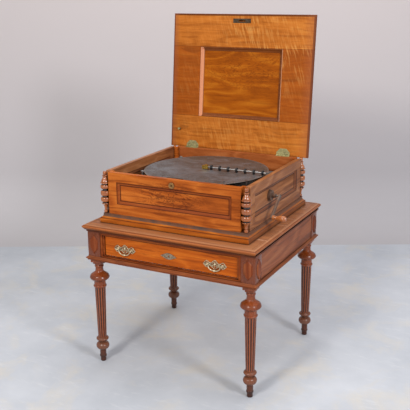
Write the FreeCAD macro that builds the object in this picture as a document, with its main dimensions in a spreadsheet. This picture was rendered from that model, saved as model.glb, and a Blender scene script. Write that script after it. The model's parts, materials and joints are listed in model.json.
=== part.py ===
"""Parametric model of a spring-driven disc music box on its drawer table, in millimetres.

X runs to the right, Y to the back and Z up. The origin is at floor level, under the middle of the
whole footprint from side to side, crank included. The lid stands open, as it leans on its stop.
"""
import FreeCAD
import Part
import Sketcher
import math
import os

Vector = FreeCAD.Vector

# Driving sizes: a name that the sheet uses as an alias, and its value in millimetres, degrees or pieces.
SIZES = [
    # Table
    ("table_width", 800.0), ("table_depth", 760.0), ("table_height", 648.0), ("top_thick", 24.0),
    ("top_nose", 15.0), ("top_bead_inset", 24.0), ("top_bead_radius", 1.6),
    ("cornice_drop", 11.0), ("cornice_out", 7.0),
    ("leg_spread", 716.0), ("leg_reach", 648.0), ("block_size", 62.0), ("block_drop", 140.0),
    ("base_rise", 19.0), ("base_out", 7.0),
    ("board_thick", 18.0), ("board_inset", 3.0),
    # Raised panels on the leg blocks
    ("facet_width", 42.0), ("facet_height", 88.0), ("facet_thick", 5.0), ("facet_rise", 26.0),
    # Turned leg, from the floor up
    ("foot_radius", 12.5), ("foot_height", 19.0), ("foot_ring_radius", 15.5), ("foot_ring_height", 12.0),
    ("ankle_radius", 14.0), ("ankle_height", 27.0), ("ball_radius", 29.0), ("ball_height", 33.0),
    ("throat_radius", 16.0), ("throat_height", 3.0), ("toe_ring_radius", 27.0), ("toe_ring_height", 23.0),
    ("shaft_low_radius", 18.5), ("shaft_high_radius", 24.0), ("collar_ring_radius", 28.5),
    ("collar_ring_height", 10.0), ("collar_radius", 25.0), ("collar_height", 20.0), ("cup_radius", 43.0),
    ("cup_under", 20.0), ("cup_over", 26.0), ("neck_radius", 16.5), ("neck_height", 18.0),
    ("neck_bead_radius", 19.0), ("neck_bead_height", 10.0), ("cap_low_size", 38.0), ("cap_low_height", 10.0),
    ("cap_high_size", 52.0), ("cap_high_height", 14.0),
    ("flute_count", 12), ("flute_low_radius", 3.2), ("flute_high_radius", 4.6), ("flute_margin", 5.0),
    # Drawer
    ("drawer_width", 616.0), ("drawer_low", 513.0), ("drawer_high", 598.0), ("drawer_gap", 0.8),
    ("drawer_depth", 600.0), ("drawer_front_thick", 20.0), ("drawer_recess", 9.0),
    ("drawer_side_thick", 12.0), ("drawer_side_drop", 10.0), ("drawer_bottom_thick", 6.0),
    ("drawer_travel", 400.0), ("rail_depth", 22.0), ("surround_step", 8.0), ("surround_depth", 12.0),
    ("runner_thick", 14.0),
    ("pull_place", 210.0), ("pull_height", 551.0), ("pull_width", 104.0), ("pull_tall", 36.0),
    ("pull_plate_thick", 1.6), ("bail_span", 66.0), ("bail_drop", 22.0), ("bail_radius", 2.4),
    ("bail_gap", 0.4), ("bail_stand", 7.0), ("ear_radius", 4.0), ("keyplate_width", 76.0),
    ("keyplate_tall", 28.0),
    ("lock_width", 64.0), ("lock_tall", 44.0), ("lock_thick", 12.0),
    # Case
    ("case_width", 664.0), ("case_depth", 616.0), ("case_height", 220.0),
    ("wall_thick", 20.0), ("floor_thick", 12.0), ("floor_lift", 4.0),
    ("plinth_height", 41.0), ("plinth_out", 13.0), ("plinth_board", 21.0), ("plinth_cove", 5.0),
    ("post_web", 10.0), ("panel_width", 527.0), ("side_panel_width", 464.0), ("panel_low", 87.0),
    ("panel_high", 180.0), ("panel_bevel", 13.0), ("panel_step", 3.0), ("panel_depth", 9.0),
    # Turned corner column, from the plinth up
    ("column_inset", 7.0), ("column_gap", 0.3), ("bobbin_radius", 20.5), ("low_bobbin", 22.0),
    ("middle_bobbin", 24.0), ("high_bobbin", 18.0), ("groove_radius", 13.0), ("groove_height", 3.5),
    ("deep_groove_height", 7.0), ("tip_radius", 5.5), ("tip_ball_radius", 8.5), ("tip_height", 17.0),
    ("stem_radius", 6.0), ("thin_ring_radius", 17.0), ("high_ring_radius", 20.0), ("thin_ring_height", 6.0),
    ("vase_low_radius", 15.0), ("vase_high_radius", 8.0), ("vase_height", 25.0), ("top_ring_radius", 11.5),
    ("top_ring_height", 5.0), ("top_ball_radius", 8.0), ("top_ball_height", 14.0),
    # Lid
    ("lid_width", 702.0), ("lid_length", 624.0), ("lid_thick", 26.0), ("lid_edge", 7.0),
    ("lid_angle", 95.25), ("lid_rear_overhang", 2.8), ("lid_leaf_reach", 31.0), ("lid_leaf_taper", 0.5),
    ("lid_opening_width", 412.0), ("lid_opening_near", 150.0), ("lid_opening_far", 473.0),
    ("lid_panel_thick", 10.0), ("lid_panel_sink", 12.0), ("lid_bead_width", 17.0),
    ("hinge_place", 233.0), ("hinge_width", 64.0), ("hinge_leaf_thick", 1.6), ("hinge_leaf_reach", 22.0),
    ("knuckle_radius", 3.2), ("hinge_pin_radius", 1.4), ("knuckle_gap", 0.4),
    ("strike_width", 88.0), ("strike_reach", 20.0), ("strike_edge", 16.0), ("strike_thick", 1.5),
    ("strike_slot_width", 34.0), ("strike_slot_reach", 9.0), ("strike_slot_depth", 13.0),
    ("stay_place", 305.0), ("stay_reach", 83.0), ("stay_radius", 5.0), ("stay_tall", 12.0),
    # Case lock
    ("case_lock_width", 70.0), ("case_lock_tall", 46.0), ("case_lock_thick", 12.0), ("bolt_width", 24.0),
    ("bolt_thick", 5.0), ("bolt_tall", 24.0), ("bolt_gap", 0.3), ("bolt_travel", 8.0),
    ("keyhole_ring_radius", 13.0), ("keyhole_ring_thick", 3.0), ("keyhole_height", 195.0),
    # Disc and its turntable
    ("disc_radius", 270.0), ("disc_thick", 1.0), ("disc_top", 198.0), ("disc_bore", 4.1),
    ("spindle_radius", 3.0), ("spindle_rise", 6.5), ("drive_pin_radius", 2.0), ("drive_pin_place", 14.0),
    ("drive_hole_radius", 2.4), ("flange_radius", 24.0), ("flange_thick", 6.0), ("seat_gap", 0.3),
    ("arbor_radius", 6.0), ("running_gap", 0.05),
    # Bedplate and motor plate
    ("bed_width", 500.0), ("bed_depth", 460.0), ("bed_thick", 8.0), ("bed_top", 162.0),
    ("bed_corner", 30.0), ("bed_post_radius", 13.0), ("bed_post_inset", 26.0),
    ("motor_plate_top", 54.0), ("motor_plate_thick", 6.0), ("motor_pillar_radius", 6.0),
    ("motor_plate_left", 98.0), ("motor_plate_right", 154.0), ("motor_plate_front", 144.0),
    ("motor_plate_back", 54.0), ("motor_plate_corner", 14.0), ("motor_pillar_inset", 13.0),
    ("bearing_lug_width", 22.0), ("bearing_lug_thick", 9.0), ("bearing_lug_place", 134.0),
    # Gears: tooth counts, and the module, which is the pitch diameter divided by the count
    ("great_teeth", 64), ("turntable_teeth", 16), ("great_module", 2.465), ("great_thick", 5.0),
    ("barrel_angle", -40.5), ("barrel_radius", 66.0), ("barrel_low", 60.0), ("barrel_tall", 40.0),
    ("crown_teeth", 36), ("crank_teeth", 12), ("crown_module", 2.0), ("crown_face", 7.0),
    ("crown_tooth_half", 1.0), ("crown_tooth_inset", 0.3),
    ("ratchet_teeth", 24), ("ratchet_radius", 30.0), ("ratchet_thick", 4.0), ("ratchet_step", 4.0),
    ("click_reach", 47.0), ("click_angle", -58.0), ("click_radius", 4.0), ("click_gap", 1.2),
    ("click_lift", 12.0),
    ("governor_teeth", 64), ("governor_pinion_teeth", 8), ("governor_module", 1.5),
    ("fan_teeth", 48), ("fan_pinion_teeth", 8), ("fan_module", 1.2), ("governor_angle", 225.0),
    ("fan_radius", 26.0), ("fan_tall", 52.0), ("fan_blade_thick", 1.2), ("brake_radius", 10.0),
    ("brake_thick", 4.0), ("small_arbor_radius", 3.0), ("wheel_thick", 3.0),
    # Star wheels, combs and gantry
    ("star_count", 24), ("star_pitch", 9.0), ("star_first", 38.0), ("star_radius", 9.0),
    ("star_root", 5.2), ("star_points", 8), ("star_thick", 2.0), ("star_axle_radius", 2.0),
    ("star_height", 186.0), ("gantry_width", 10.0), ("gantry_tall", 10.0), ("gantry_end", 5.0),
    ("comb_reach", 60.0), ("comb_thick", 3.0), ("comb_teeth", 36), ("comb_tooth_pitch", 6.0),
    ("comb_slot", 1.6), ("comb_slot_reach", 34.0), ("comb_tip_gap", 0.6), ("comb_seat_width", 22.0),
    # Pressure bar with its rollers
    ("rod_radius", 3.0), ("roller_radius", 10.3), ("roller_width", 7.0), ("roller_first", 25.0),
    ("roller_pitch", 40.0), ("roller_count", 7), ("bar_pivot", 287.0), ("bar_eye_radius", 6.5),
    ("bar_eye_width", 9.0), ("trunnion_radius", 2.5), ("ear_thick", 4.0), ("ear_gap", 0.4),
    ("bracket_thick", 3.0), ("bracket_margin", 8.0),
    ("hub_width", 28.0), ("hub_shift", -4.0), ("hub_depth", 12.0), ("hub_bore", 3.6),
    ("hub_knob_radius", 6.0), ("bar_angle", 95.0),
    # Edge guides
    ("guide_gap", 3.5), ("guide_groove_radius", 3.0), ("guide_flange_radius", 8.0), ("guide_flange", 2.4),
    ("guide_slack", 0.6), ("guide_top", 214.0), ("guide_foot_radius", 6.0),
    ("guide_angle_rear", 142.0), ("guide_angle_front", -145.7), ("guide_angle_right", -48.0),
    # Crank
    ("crank_height", 135.0), ("crank_shaft_radius", 4.0), ("shaft_way_gap", 2.0), ("boss_radius", 22.0),
    ("boss_thick", 3.5), ("boss_hub_radius", 9.0), ("boss_hub_length", 17.0), ("crank_arm_place", 364.0),
    ("crank_arm_thick", 8.0), ("crank_arm_length", 108.0), ("crank_angle", 218.6), ("crank_arm_big", 10.0),
    ("crank_arm_small", 8.0), ("grip_length", 58.0), ("grip_gap", 0.5), ("grip_pin_radius", 3.0),
    ("grip_neck_radius", 7.0), ("grip_bulb_radius", 12.0), ("grip_cuff_radius", 9.5),
    # Start and stop lever
    ("lever_pivot", 150.0), ("lever_y", -160.0), ("lever_thick", 3.0), ("lever_lift", 3.6),
    ("lever_width", 9.0), ("lever_outer", 112.0), ("lever_knob_radius", 5.0), ("lever_knob_top", 206.0),
    ("lever_pin_radius", 3.0),
]


class Size:
    """A number that also carries the sheet expression behind it."""

    def __init__(self, number, text):
        self.number = float(number)
        self.text = text

    def combine(self, other, sign, number, swapped=False):
        first, second = (other, self) if swapped else (self, other)
        return Size(number, "(%s %s %s)" % (text_of(first), sign, text_of(second)))

    def __add__(self, other):
        return self.combine(other, "+", self.number + number_of(other))

    def __radd__(self, other):
        return self.combine(other, "+", self.number + number_of(other), True)

    def __sub__(self, other):
        return self.combine(other, "-", self.number - number_of(other))

    def __rsub__(self, other):
        return self.combine(other, "-", number_of(other) - self.number, True)

    def __mul__(self, other):
        return self.combine(other, "*", self.number * number_of(other))

    def __rmul__(self, other):
        return self.combine(other, "*", self.number * number_of(other), True)

    def __truediv__(self, other):
        return self.combine(other, "/", self.number / number_of(other))

    def __rtruediv__(self, other):
        return self.combine(other, "/", number_of(other) / self.number, True)

    def __neg__(self):
        return Size(-self.number, "(0 - %s)" % self.text)


def number_of(value):
    return value.number if isinstance(value, Size) else float(value)


def text_of(value):
    if isinstance(value, Size):
        return value.text
    return "%.9f" % value if value >= 0 else "(0 - %.9f)" % -value


def cosine(angle):
    return Size(math.cos(math.radians(number_of(angle))), "cos(%s * 1 deg)" % text_of(angle))


def sine(angle):
    return Size(math.sin(math.radians(number_of(angle))), "sin(%s * 1 deg)" % text_of(angle))


doc = FreeCAD.newDocument("disc_music_box")
sheet = doc.addObject("Spreadsheet::Sheet", "Sizes")
for row, (alias, value) in enumerate(SIZES, start=1):
    sheet.set("A%d" % row, alias)
    sheet.set("B%d" % row, str(value))
    sheet.setAlias("B%d" % row, alias)
doc.recompute()


class SizeTable:
    """Gives each driving size by its name."""

    def __getattr__(self, alias):
        return Size(float(sheet.get(alias)), "Sizes." + alias)


s = SizeTable()


def bind(thing, path, value):
    """Tie one property of a thing to the sheet."""
    if isinstance(value, Size):
        thing.setExpression(path, value.text)


# Places that many sub-parts share
footprint_shift = (s.crank_arm_place + s.crank_arm_thick + s.grip_gap + s.grip_length - s.table_width / 2) / 2
half_spread = s.leg_spread / 2
half_reach = s.leg_reach / 2
frieze_half_width = half_spread + s.block_size / 2
frieze_half_depth = half_reach + s.block_size / 2
frieze_top = s.table_height - s.top_thick
frieze_low = frieze_top - s.block_drop
case_half_width = s.case_width / 2
case_half_depth = s.case_depth / 2
notch = s.column_inset + s.bobbin_radius + s.column_gap
post_edge_x = case_half_width - notch - s.post_web
post_edge_y = case_half_depth - notch - s.post_web
floor_top = s.floor_lift + s.floor_thick
hinge_out = s.knuckle_radius + s.knuckle_gap
disc_low = s.disc_top - s.disc_thick
bed_low = s.bed_top - s.bed_thick
rod_height = s.disc_top + s.seat_gap + s.roller_radius
great_pitch = s.great_module * s.great_teeth / 2
turntable_pitch = s.great_module * s.turntable_teeth / 2
barrel_distance = great_pitch + turntable_pitch
barrel_x = barrel_distance * cosine(s.barrel_angle)
barrel_y = barrel_distance * sine(s.barrel_angle)
great_low = s.barrel_low + s.barrel_tall + 1.0
ratchet_low = great_low + s.great_thick + 2.0
crown_pitch = s.crown_module * s.crown_teeth / 2
crank_pitch = s.crown_module * s.crank_teeth / 2
crown_plane = s.crank_height - crank_pitch
governor_reach = s.governor_module * (s.governor_teeth + s.governor_pinion_teeth) / 2
fan_reach = s.fan_module * (s.fan_teeth + s.fan_pinion_teeth) / 2
governor_x = governor_reach * cosine(s.governor_angle)
governor_y = governor_reach * sine(s.governor_angle)
fan_x = (governor_reach + fan_reach) * cosine(s.governor_angle)
fan_y = (governor_reach + fan_reach) * sine(s.governor_angle)


def new_body(label, x=0.0, y=0.0, z=0.0, turn=0.0, tilt=0.0):
    """A body placed in the part's frame, turned about Z or tilted back about X."""
    body = doc.addObject("PartDesign::Body", label)
    body.Label = label
    body.AllowCompound = True
    place = [x - footprint_shift, y, z]
    if number_of(tilt):
        rotation = FreeCAD.Rotation(Vector(-1, 0, 0), number_of(tilt))
    else:
        rotation = FreeCAD.Rotation(Vector(0, 0, 1), number_of(turn))
    body.Placement = FreeCAD.Placement(Vector(*[number_of(v) for v in place]), rotation)
    for letter, value in zip("xyz", place):
        bind(body, "Placement.Base." + letter, value)
    bind(body, "Placement.Rotation.Angle", tilt if isinstance(tilt, Size) else turn)
    return body


def table_body(label, x=0.0, y=0.0, z=0.0, turn=0.0):
    return new_body(label, x, y, z, turn)


def case_body(label, x=0.0, y=0.0, z=0.0, turn=0.0):
    """A body whose heights count from the table's top."""
    return new_body(label, x, y, z + s.table_height, turn)


def lid_body(label):
    """A body drawn with the lid shut: Y is 0 at the hinge pins and Z is 0 at the case's rim."""
    return new_body(label, 0.0, case_half_depth + hinge_out, s.table_height + s.case_height,
                    tilt=s.lid_angle)


def sketch(body, name, role, loops, offset=0.0, across=0.0):
    """A sketch on an origin plane, moved off it by an offset and along its own width by another.

    A loop is a list of corners (u, v) or (u, v, bulge), anticlockwise. The bulge is how far an arc from
    that corner to the next stands out to the right of its chord. A loop may also be a circle, given as
    ("circle", u, v, radius).
    """
    made = body.newObject("Sketcher::SketchObject", body.Label + "_" + name)
    plane = [part for part in body.Origin.OriginFeatures if part.Role == role][0]
    made.AttachmentSupport = [(plane, "")]
    made.MapMode = "FlatFace"
    made.AttachmentOffset = FreeCAD.Placement(Vector(number_of(across), 0, number_of(offset)),
                                              FreeCAD.Rotation())
    bind(made, "AttachmentOffset.Base.x", across)
    bind(made, "AttachmentOffset.Base.z", offset)
    for loop in loops:
        if loop[0] == "circle":
            add_circle(made, *loop[1:])
        else:
            add_loop(made, loop)
    return made


def hold(made, kind, place, value):
    """Add a sized constraint and tie it to the sheet."""
    index = made.addConstraint(Sketcher.Constraint(kind, *place, number_of(value)))
    bind(made, "Constraints[%d]" % index, value)


def add_circle(made, u, v, radius):
    centre = Vector(number_of(u), number_of(v), 0)
    index = made.addGeometry(Part.Circle(centre, Vector(0, 0, 1), number_of(radius)), False)
    hold(made, "DistanceX", (index, 3), u)
    hold(made, "DistanceY", (index, 3), v)
    hold(made, "Radius", (index,), radius)


def add_loop(made, loop, closed=True):
    corners = [corner if len(corner) == 3 else (corner[0], corner[1], 0.0) for corner in loop]
    edges = []
    count = len(corners) if closed else len(corners) - 1
    for index in range(count):
        u, v, bulge = corners[index]
        next_u, next_v, _ = corners[(index + 1) % len(corners)]
        start = Vector(number_of(u), number_of(v), 0)
        end = Vector(number_of(next_u), number_of(next_v), 0)
        if number_of(bulge) == 0.0:
            edges.append((made.addGeometry(Part.LineSegment(start, end), False), 1, 2))
            continue
        chord = end - start
        right = Vector(chord.y, -chord.x, 0).normalize()
        middle = (start + end) * 0.5 + right * number_of(bulge)
        arc = made.addGeometry(Part.Arc(start, middle, end), False)
        edges.append((arc, 1, 2) if number_of(bulge) > 0 else (arc, 2, 1))
        across = next_u - u
        along = next_v - v
        radius = (across * across + along * along) / (bulge * 8) + bulge / 2
        hold(made, "Radius", (arc,), radius if number_of(bulge) > 0 else 0 - radius)
    for index, (edge, first, last) in enumerate(edges):
        if closed or index + 1 < len(edges):
            following, following_first, _ = edges[(index + 1) % len(edges)]
            made.addConstraint(Sketcher.Constraint("Coincident", edge, last, following, following_first))
        hold(made, "DistanceX", (edge, first), corners[index][0])
        hold(made, "DistanceY", (edge, first), corners[index][1])


def box_loop(u_low, v_low, u_high, v_high):
    return [(u_low, v_low), (u_high, v_low), (u_high, v_high), (u_low, v_high)]


def pad(body, drawn, length, backward=False):
    made = body.newObject("PartDesign::Pad", drawn.Name + "_pad")
    made.Profile = drawn
    made.Length = number_of(length)
    bind(made, "Length", length)
    made.Reversed = backward
    return made


def pocket(body, drawn, depth, backward=False):
    made = body.newObject("PartDesign::Pocket", drawn.Name + "_pocket")
    made.Profile = drawn
    made.Length = number_of(depth)
    bind(made, "Length", depth)
    made.Reversed = backward
    return made


def turn(body, drawn, axis="V_Axis"):
    made = body.newObject("PartDesign::Revolution", drawn.Name + "_turned")
    made.Profile = drawn
    made.ReferenceAxis = (drawn, [axis])
    made.Angle = 360.0
    return made


def around(body, feature, drawn, count):
    """Repeat a feature around the axis that stands on its sketch's origin."""
    made = body.newObject("PartDesign::PolarPattern", feature.Name + "_ring")
    made.Originals = [feature]
    made.Axis = (drawn, ["N_Axis"])
    made.Angle = 360.0
    made.Occurrences = int(number_of(count))
    bind(made, "Occurrences", count)
    body.Tip = made
    return made


def along(body, feature, drawn, count, length, axis="H_Axis"):
    made = body.newObject("PartDesign::LinearPattern", feature.Name + "_row")
    made.Originals = [feature]
    made.Direction = (drawn, [axis])
    made.Length = number_of(length)
    bind(made, "Length", length)
    made.Occurrences = int(number_of(count))
    bind(made, "Occurrences", count)
    body.Tip = made
    return made


def add_box(body, name, low, high):
    """A block between two corners."""
    drawn = sketch(body, name, "XY_Plane", [box_loop(low[0], low[1], high[0], high[1])], low[2])
    return pad(body, drawn, high[2] - low[2])


def add_drum(body, name, x, y, low, high, radius, bore=None):
    """An upright cylinder, with a bore if one is given."""
    loops = [("circle", x, y, radius)]
    if bore is not None:
        loops.append(("circle", x, y, bore))
    return pad(body, sketch(body, name, "XY_Plane", loops, low), high - low)


def drill(body, name, x, y, top, depth, radius):
    return pocket(body, sketch(body, name, "XY_Plane", [("circle", x, y, radius)], top), depth)


def moulding(body, name, half_width, half_depth, profile, cut=False, middle=0.0, height=0.0):
    """A mitred moulding round a rectangle.

    Its profile's corners are (outwards, up), with a bulge where the next edge is curved.
    """
    path = body.newObject("Sketcher::SketchObject", body.Label + "_" + name + "_path")
    plane = [part for part in body.Origin.OriginFeatures if part.Role == "XY_Plane"][0]
    path.AttachmentSupport = [(plane, "")]
    path.MapMode = "FlatFace"
    path.AttachmentOffset = FreeCAD.Placement(Vector(0, 0, number_of(height)), FreeCAD.Rotation())
    bind(path, "AttachmentOffset.Base.z", height)
    front = middle - half_depth
    back = middle + half_depth
    add_loop(path, [(0.0, front), (half_width, front), (half_width, back), (0 - half_width, back),
                    (0 - half_width, front)])
    loop = []
    for corner in profile:
        bulge = corner[2] if len(corner) == 3 else 0.0
        loop.append((front - corner[0], corner[1] + height, bulge if number_of(bulge) == 0 else 0 - bulge))
    section = sketch(body, name + "_section", "YZ_Plane", [loop])
    kind = "PartDesign::SubtractivePipe" if cut else "PartDesign::AdditivePipe"
    made = body.newObject(kind, body.Label + "_" + name)
    made.Profile = section
    made.Spine = (path, [])
    made.Transition = "Right corner"
    return made


def turned_profile(stages, start=0.0):
    """The right half of a turned outline. A stage is (radius, height, bulge) and stacks on the last.

    Each stage's radius and height are where it ends, above the start of the stage. Two stages of no
    height between them make a step.
    """
    level = start
    corners = [(0.0, start)]
    for radius, height, bulge in stages:
        if corners[1:] and number_of(bulge) != 0:
            corners[-1] = (corners[-1][0], corners[-1][1], bulge)
        if number_of(height) or number_of(radius) != number_of(corners[-1][0]):
            level = level + height
            corners.append((radius, level))
    corners.append((0.0, level))
    return corners, level


def ring(root, radius, height):
    """Stages for a ring with chamfered edges."""
    return [(root, 0.0, 0.0), (radius, height * 0.28, 0.0), (radius, height * 0.44, 0.0),
            (root, height * 0.28, 0.0)]


def bobbin(root, radius, height):
    """Stages for a thick disc with twice-broken edges."""
    brow = radius - (radius - root) * 0.3
    return [(root, 0.0, 0.0), (brow, height * 0.14, 0.0), (radius, height * 0.2, 0.0),
            (radius, height * 0.32, 0.0), (brow, height * 0.2, 0.0), (root, height * 0.14, 0.0)]


def swell(root, radius, height):
    """Stages for a ball that swells from a root radius to its own."""
    return [(root, 0.0, 0.0), (root, height, radius - root)]


# Table


def make_table_top():
    body = table_body("table_top")
    half_width = s.table_width / 2 - s.top_nose
    half_depth = s.table_depth / 2 - s.top_nose
    add_box(body, "slab", (0 - half_width, 0 - half_depth, frieze_top),
            (half_width, half_depth, s.table_height))
    edge = s.top_nose
    thick = s.top_thick
    profile = [(0.0, 0.0), (edge * 0.35, 0.0), (edge * 0.65, thick * 0.2),
               (edge * 0.8, thick * 0.34, edge * 0.2), (edge * 0.8, thick * 0.74),
               (edge * 0.6, thick * 0.84), (edge * 0.3, thick * 0.9, -0.6), (0.0, thick)]
    moulding(body, "nose", half_width, half_depth, profile, height=frieze_top)
    bead_half_width = s.table_width / 2 - s.top_bead_inset
    bead_half_depth = s.table_depth / 2 - s.top_bead_inset
    groove = s.top_bead_radius
    profile = [(0 - groove, 0.5), (0 - groove, 0.0), (0.0, 0 - groove), (groove, 0.0), (groove, 0.5)]
    moulding(body, "bead", bead_half_width, bead_half_depth, profile, cut=True, height=s.table_height)


def make_leg(label, side, end):
    """One turned and fluted leg with its square block; side and end are -1 or 1."""
    body = table_body(label, half_spread * side, half_reach * end)
    block_low = frieze_low
    cap_low = block_low - s.cap_high_height - s.cap_low_height
    stages = [(s.foot_radius, 0.0, 0.0), (s.foot_radius, s.foot_height, 0.0)]
    stages += ring(s.foot_radius, s.foot_ring_radius, s.foot_ring_height)
    stages += [(s.ankle_radius, 0.0, 0.0), (s.ankle_radius, s.ankle_height, 0.0)]
    stages += swell(s.throat_radius, s.ball_radius, s.ball_height)
    stages += [(s.throat_radius, s.throat_height, 0.0)]
    stages += [(s.toe_ring_radius, s.toe_ring_height * 0.6, 0.0),
               (s.toe_ring_radius, s.toe_ring_height * 0.15, 0.0),
               (s.throat_radius, s.toe_ring_height * 0.25, 0.0)]
    stages += [(s.shaft_low_radius, 0.0, 0.0)]
    below = stages
    above = [(s.collar_radius, 0.0, 0.0)]
    above += ring(s.collar_radius, s.collar_ring_radius, s.collar_ring_height)
    above += [(s.collar_radius, s.collar_height, 0.0), (s.cup_radius, s.cup_under, 5.0),
              (s.neck_radius, s.cup_over, -4.5), (s.neck_radius, s.neck_height, 0.0)]
    above += ring(s.neck_radius, s.neck_bead_radius, s.neck_bead_height)
    low_height = s.foot_height + s.foot_ring_height + s.ankle_height + s.ball_height + s.throat_height
    low_height = low_height + s.toe_ring_height
    high_height = s.collar_ring_height + s.collar_height + s.cup_under + s.cup_over + s.neck_height
    high_height = high_height + s.neck_bead_height
    shaft = [(s.shaft_high_radius, cap_low - high_height - low_height, 0.0)]
    corners, _ = turned_profile(below + shaft + above)
    turn(body, sketch(body, "profile", "XZ_Plane", [corners]))
    half_low = s.cap_low_size / 2
    half_high = s.cap_high_size / 2
    half_block = s.block_size / 2
    add_box(body, "cap_low", (0 - half_low, 0 - half_low, cap_low),
            (half_low, half_low, cap_low + s.cap_low_height))
    add_box(body, "cap_high", (0 - half_high, 0 - half_high, cap_low + s.cap_low_height),
            (half_high, half_high, block_low))
    add_box(body, "block", (0 - half_block, 0 - half_block, block_low), (half_block, half_block, frieze_top))
    low = sketch(body, "flute_low", "XY_Plane", [("circle", s.shaft_low_radius + 0.8, 0.0,
                                                  s.flute_low_radius)],
                 low_height + s.flute_margin)
    high = sketch(body, "flute_high", "XY_Plane",
                  [("circle", s.shaft_high_radius + 0.8, 0.0, s.flute_high_radius)],
                  cap_low - high_height - s.flute_margin)
    flute = body.newObject("PartDesign::SubtractiveLoft", label + "_flute")
    flute.Profile = low
    flute.Sections = [high]
    flute.Ruled = True
    around(body, flute, low, s.flute_count)


def make_block_panels():
    """Long six-sided panels with bevelled edges on the outer faces of the leg blocks."""
    body = table_body("block_panels")
    middle = (frieze_low + s.base_rise + frieze_top - s.cornice_drop) / 2
    for face, (role, half_span, out) in enumerate((("XZ_Plane", half_spread, frieze_half_depth),
                                                   ("YZ_Plane", half_reach, frieze_half_width))):
        for sign in (-1, 1):
            for place in (-1, 1):
                if role == "XZ_Plane" and sign == -1:
                    continue
                name = "panel_%d_%d_%d" % (face, sign + 1, place + 1)
                lower = six_sided(body, name, role, half_span * place, middle, 0.0, out * sign)
                upper = six_sided(body, name + "_face", role, half_span * place, middle, 5.0,
                                  (out + s.facet_thick) * sign)
                loft = body.newObject("PartDesign::AdditiveLoft", name)
                loft.Profile = lower
                loft.Sections = [upper]
                loft.Ruled = True


def six_sided(body, name, role, middle_u, middle_v, inset, offset):
    half_width = s.facet_width / 2 - inset
    half_height = s.facet_height / 2 - inset
    shoulder = s.facet_height / 2 - s.facet_rise - inset * 0.4
    corners = [(0.0, 0 - half_height), (half_width, 0 - shoulder), (half_width, shoulder),
               (0.0, half_height),
               (0 - half_width, shoulder), (0 - half_width, 0 - shoulder)]
    return sketch(body, name, role, [[(u + middle_u, v + middle_v) for u, v in corners]], offset)


def make_frieze_boards():
    body = table_body("frieze_boards")
    out_x = frieze_half_width - s.board_inset
    out_y = frieze_half_depth - s.board_inset
    inner_x = half_spread - s.block_size / 2
    inner_y = half_reach - s.block_size / 2
    for side in (-1, 1):
        edges = sorted([out_x * side, (out_x - s.board_thick) * side], key=number_of)
        add_box(body, "side_%d" % (side + 1), (edges[0], 0 - inner_y, frieze_low),
                (edges[1], inner_y, frieze_top))
    add_box(body, "back", (0 - inner_x, out_y - s.board_thick, frieze_low), (inner_x, out_y, frieze_top))


def make_drawer_rails():
    """The front rails over and under the drawer, between the leg blocks."""
    body = table_body("drawer_rails")
    half = half_spread - s.block_size / 2
    front = 0 - frieze_half_depth + s.board_inset
    low_top = s.drawer_low - s.drawer_gap - s.surround_step * 0.5
    high_low = s.drawer_high + s.drawer_gap + s.surround_step * 0.5
    add_box(body, "low", (0 - half, front, frieze_low), (half, front + s.rail_depth, low_top))
    add_box(body, "high", (0 - half, front, high_low), (half, front + s.rail_depth, frieze_top))


def make_drawer_surround():
    """Stepped moulding round the drawer's opening."""
    body = table_body("drawer_surround")
    front = frieze_half_depth - s.board_inset
    inner = s.drawer_width / 2 + s.drawer_gap
    outer = half_spread - s.block_size / 2
    low = s.drawer_low - s.drawer_gap
    high = s.drawer_high + s.drawer_gap
    margin = s.surround_step * 0.5
    drawn = sketch(body, "ring", "XZ_Plane", [box_loop(0 - outer, low - margin, outer, high + margin),
                                             box_loop(0 - inner, low, inner,
                                                      high)], front - s.surround_depth)
    pad(body, drawn, s.surround_depth)
    step = s.surround_step
    low_step = box_loop(0 - inner - step, low - margin, inner + step, high + margin)
    cut = sketch(body, "step", "XZ_Plane", [low_step], front)
    pocket(body, cut, s.surround_depth * 0.4)


def make_table_mouldings():
    cornice = table_body("cornice")
    drop = s.cornice_drop
    out = s.cornice_out
    profile = [(0.0, 0 - drop), (out * 0.35, 0 - drop), (out * 0.45, 0 - drop * 0.55, -0.9),
               (out, 0 - drop * 0.3), (out, 0.0), (0.0, 0.0)]
    moulding(cornice, "cove", frieze_half_width, frieze_half_depth, profile, height=frieze_top)
    base = table_body("base_moulding")
    rise = s.base_rise
    out = s.base_out
    profile = [(0.0, 0.0), (out * 0.4, 0.0), (out * 0.55, rise * 0.3), (out * 0.9, rise * 0.36, out * 0.35),
               (out * 0.9, rise * 0.72), (out * 0.3, rise * 0.8), (0.0, rise)]
    moulding(base, "torus", frieze_half_width, frieze_half_depth, profile, height=frieze_low)


# Drawer

drawer_front_y = 0 - frieze_half_depth + s.board_inset + s.drawer_recess
drawer_back_y = drawer_front_y + s.drawer_depth


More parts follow.
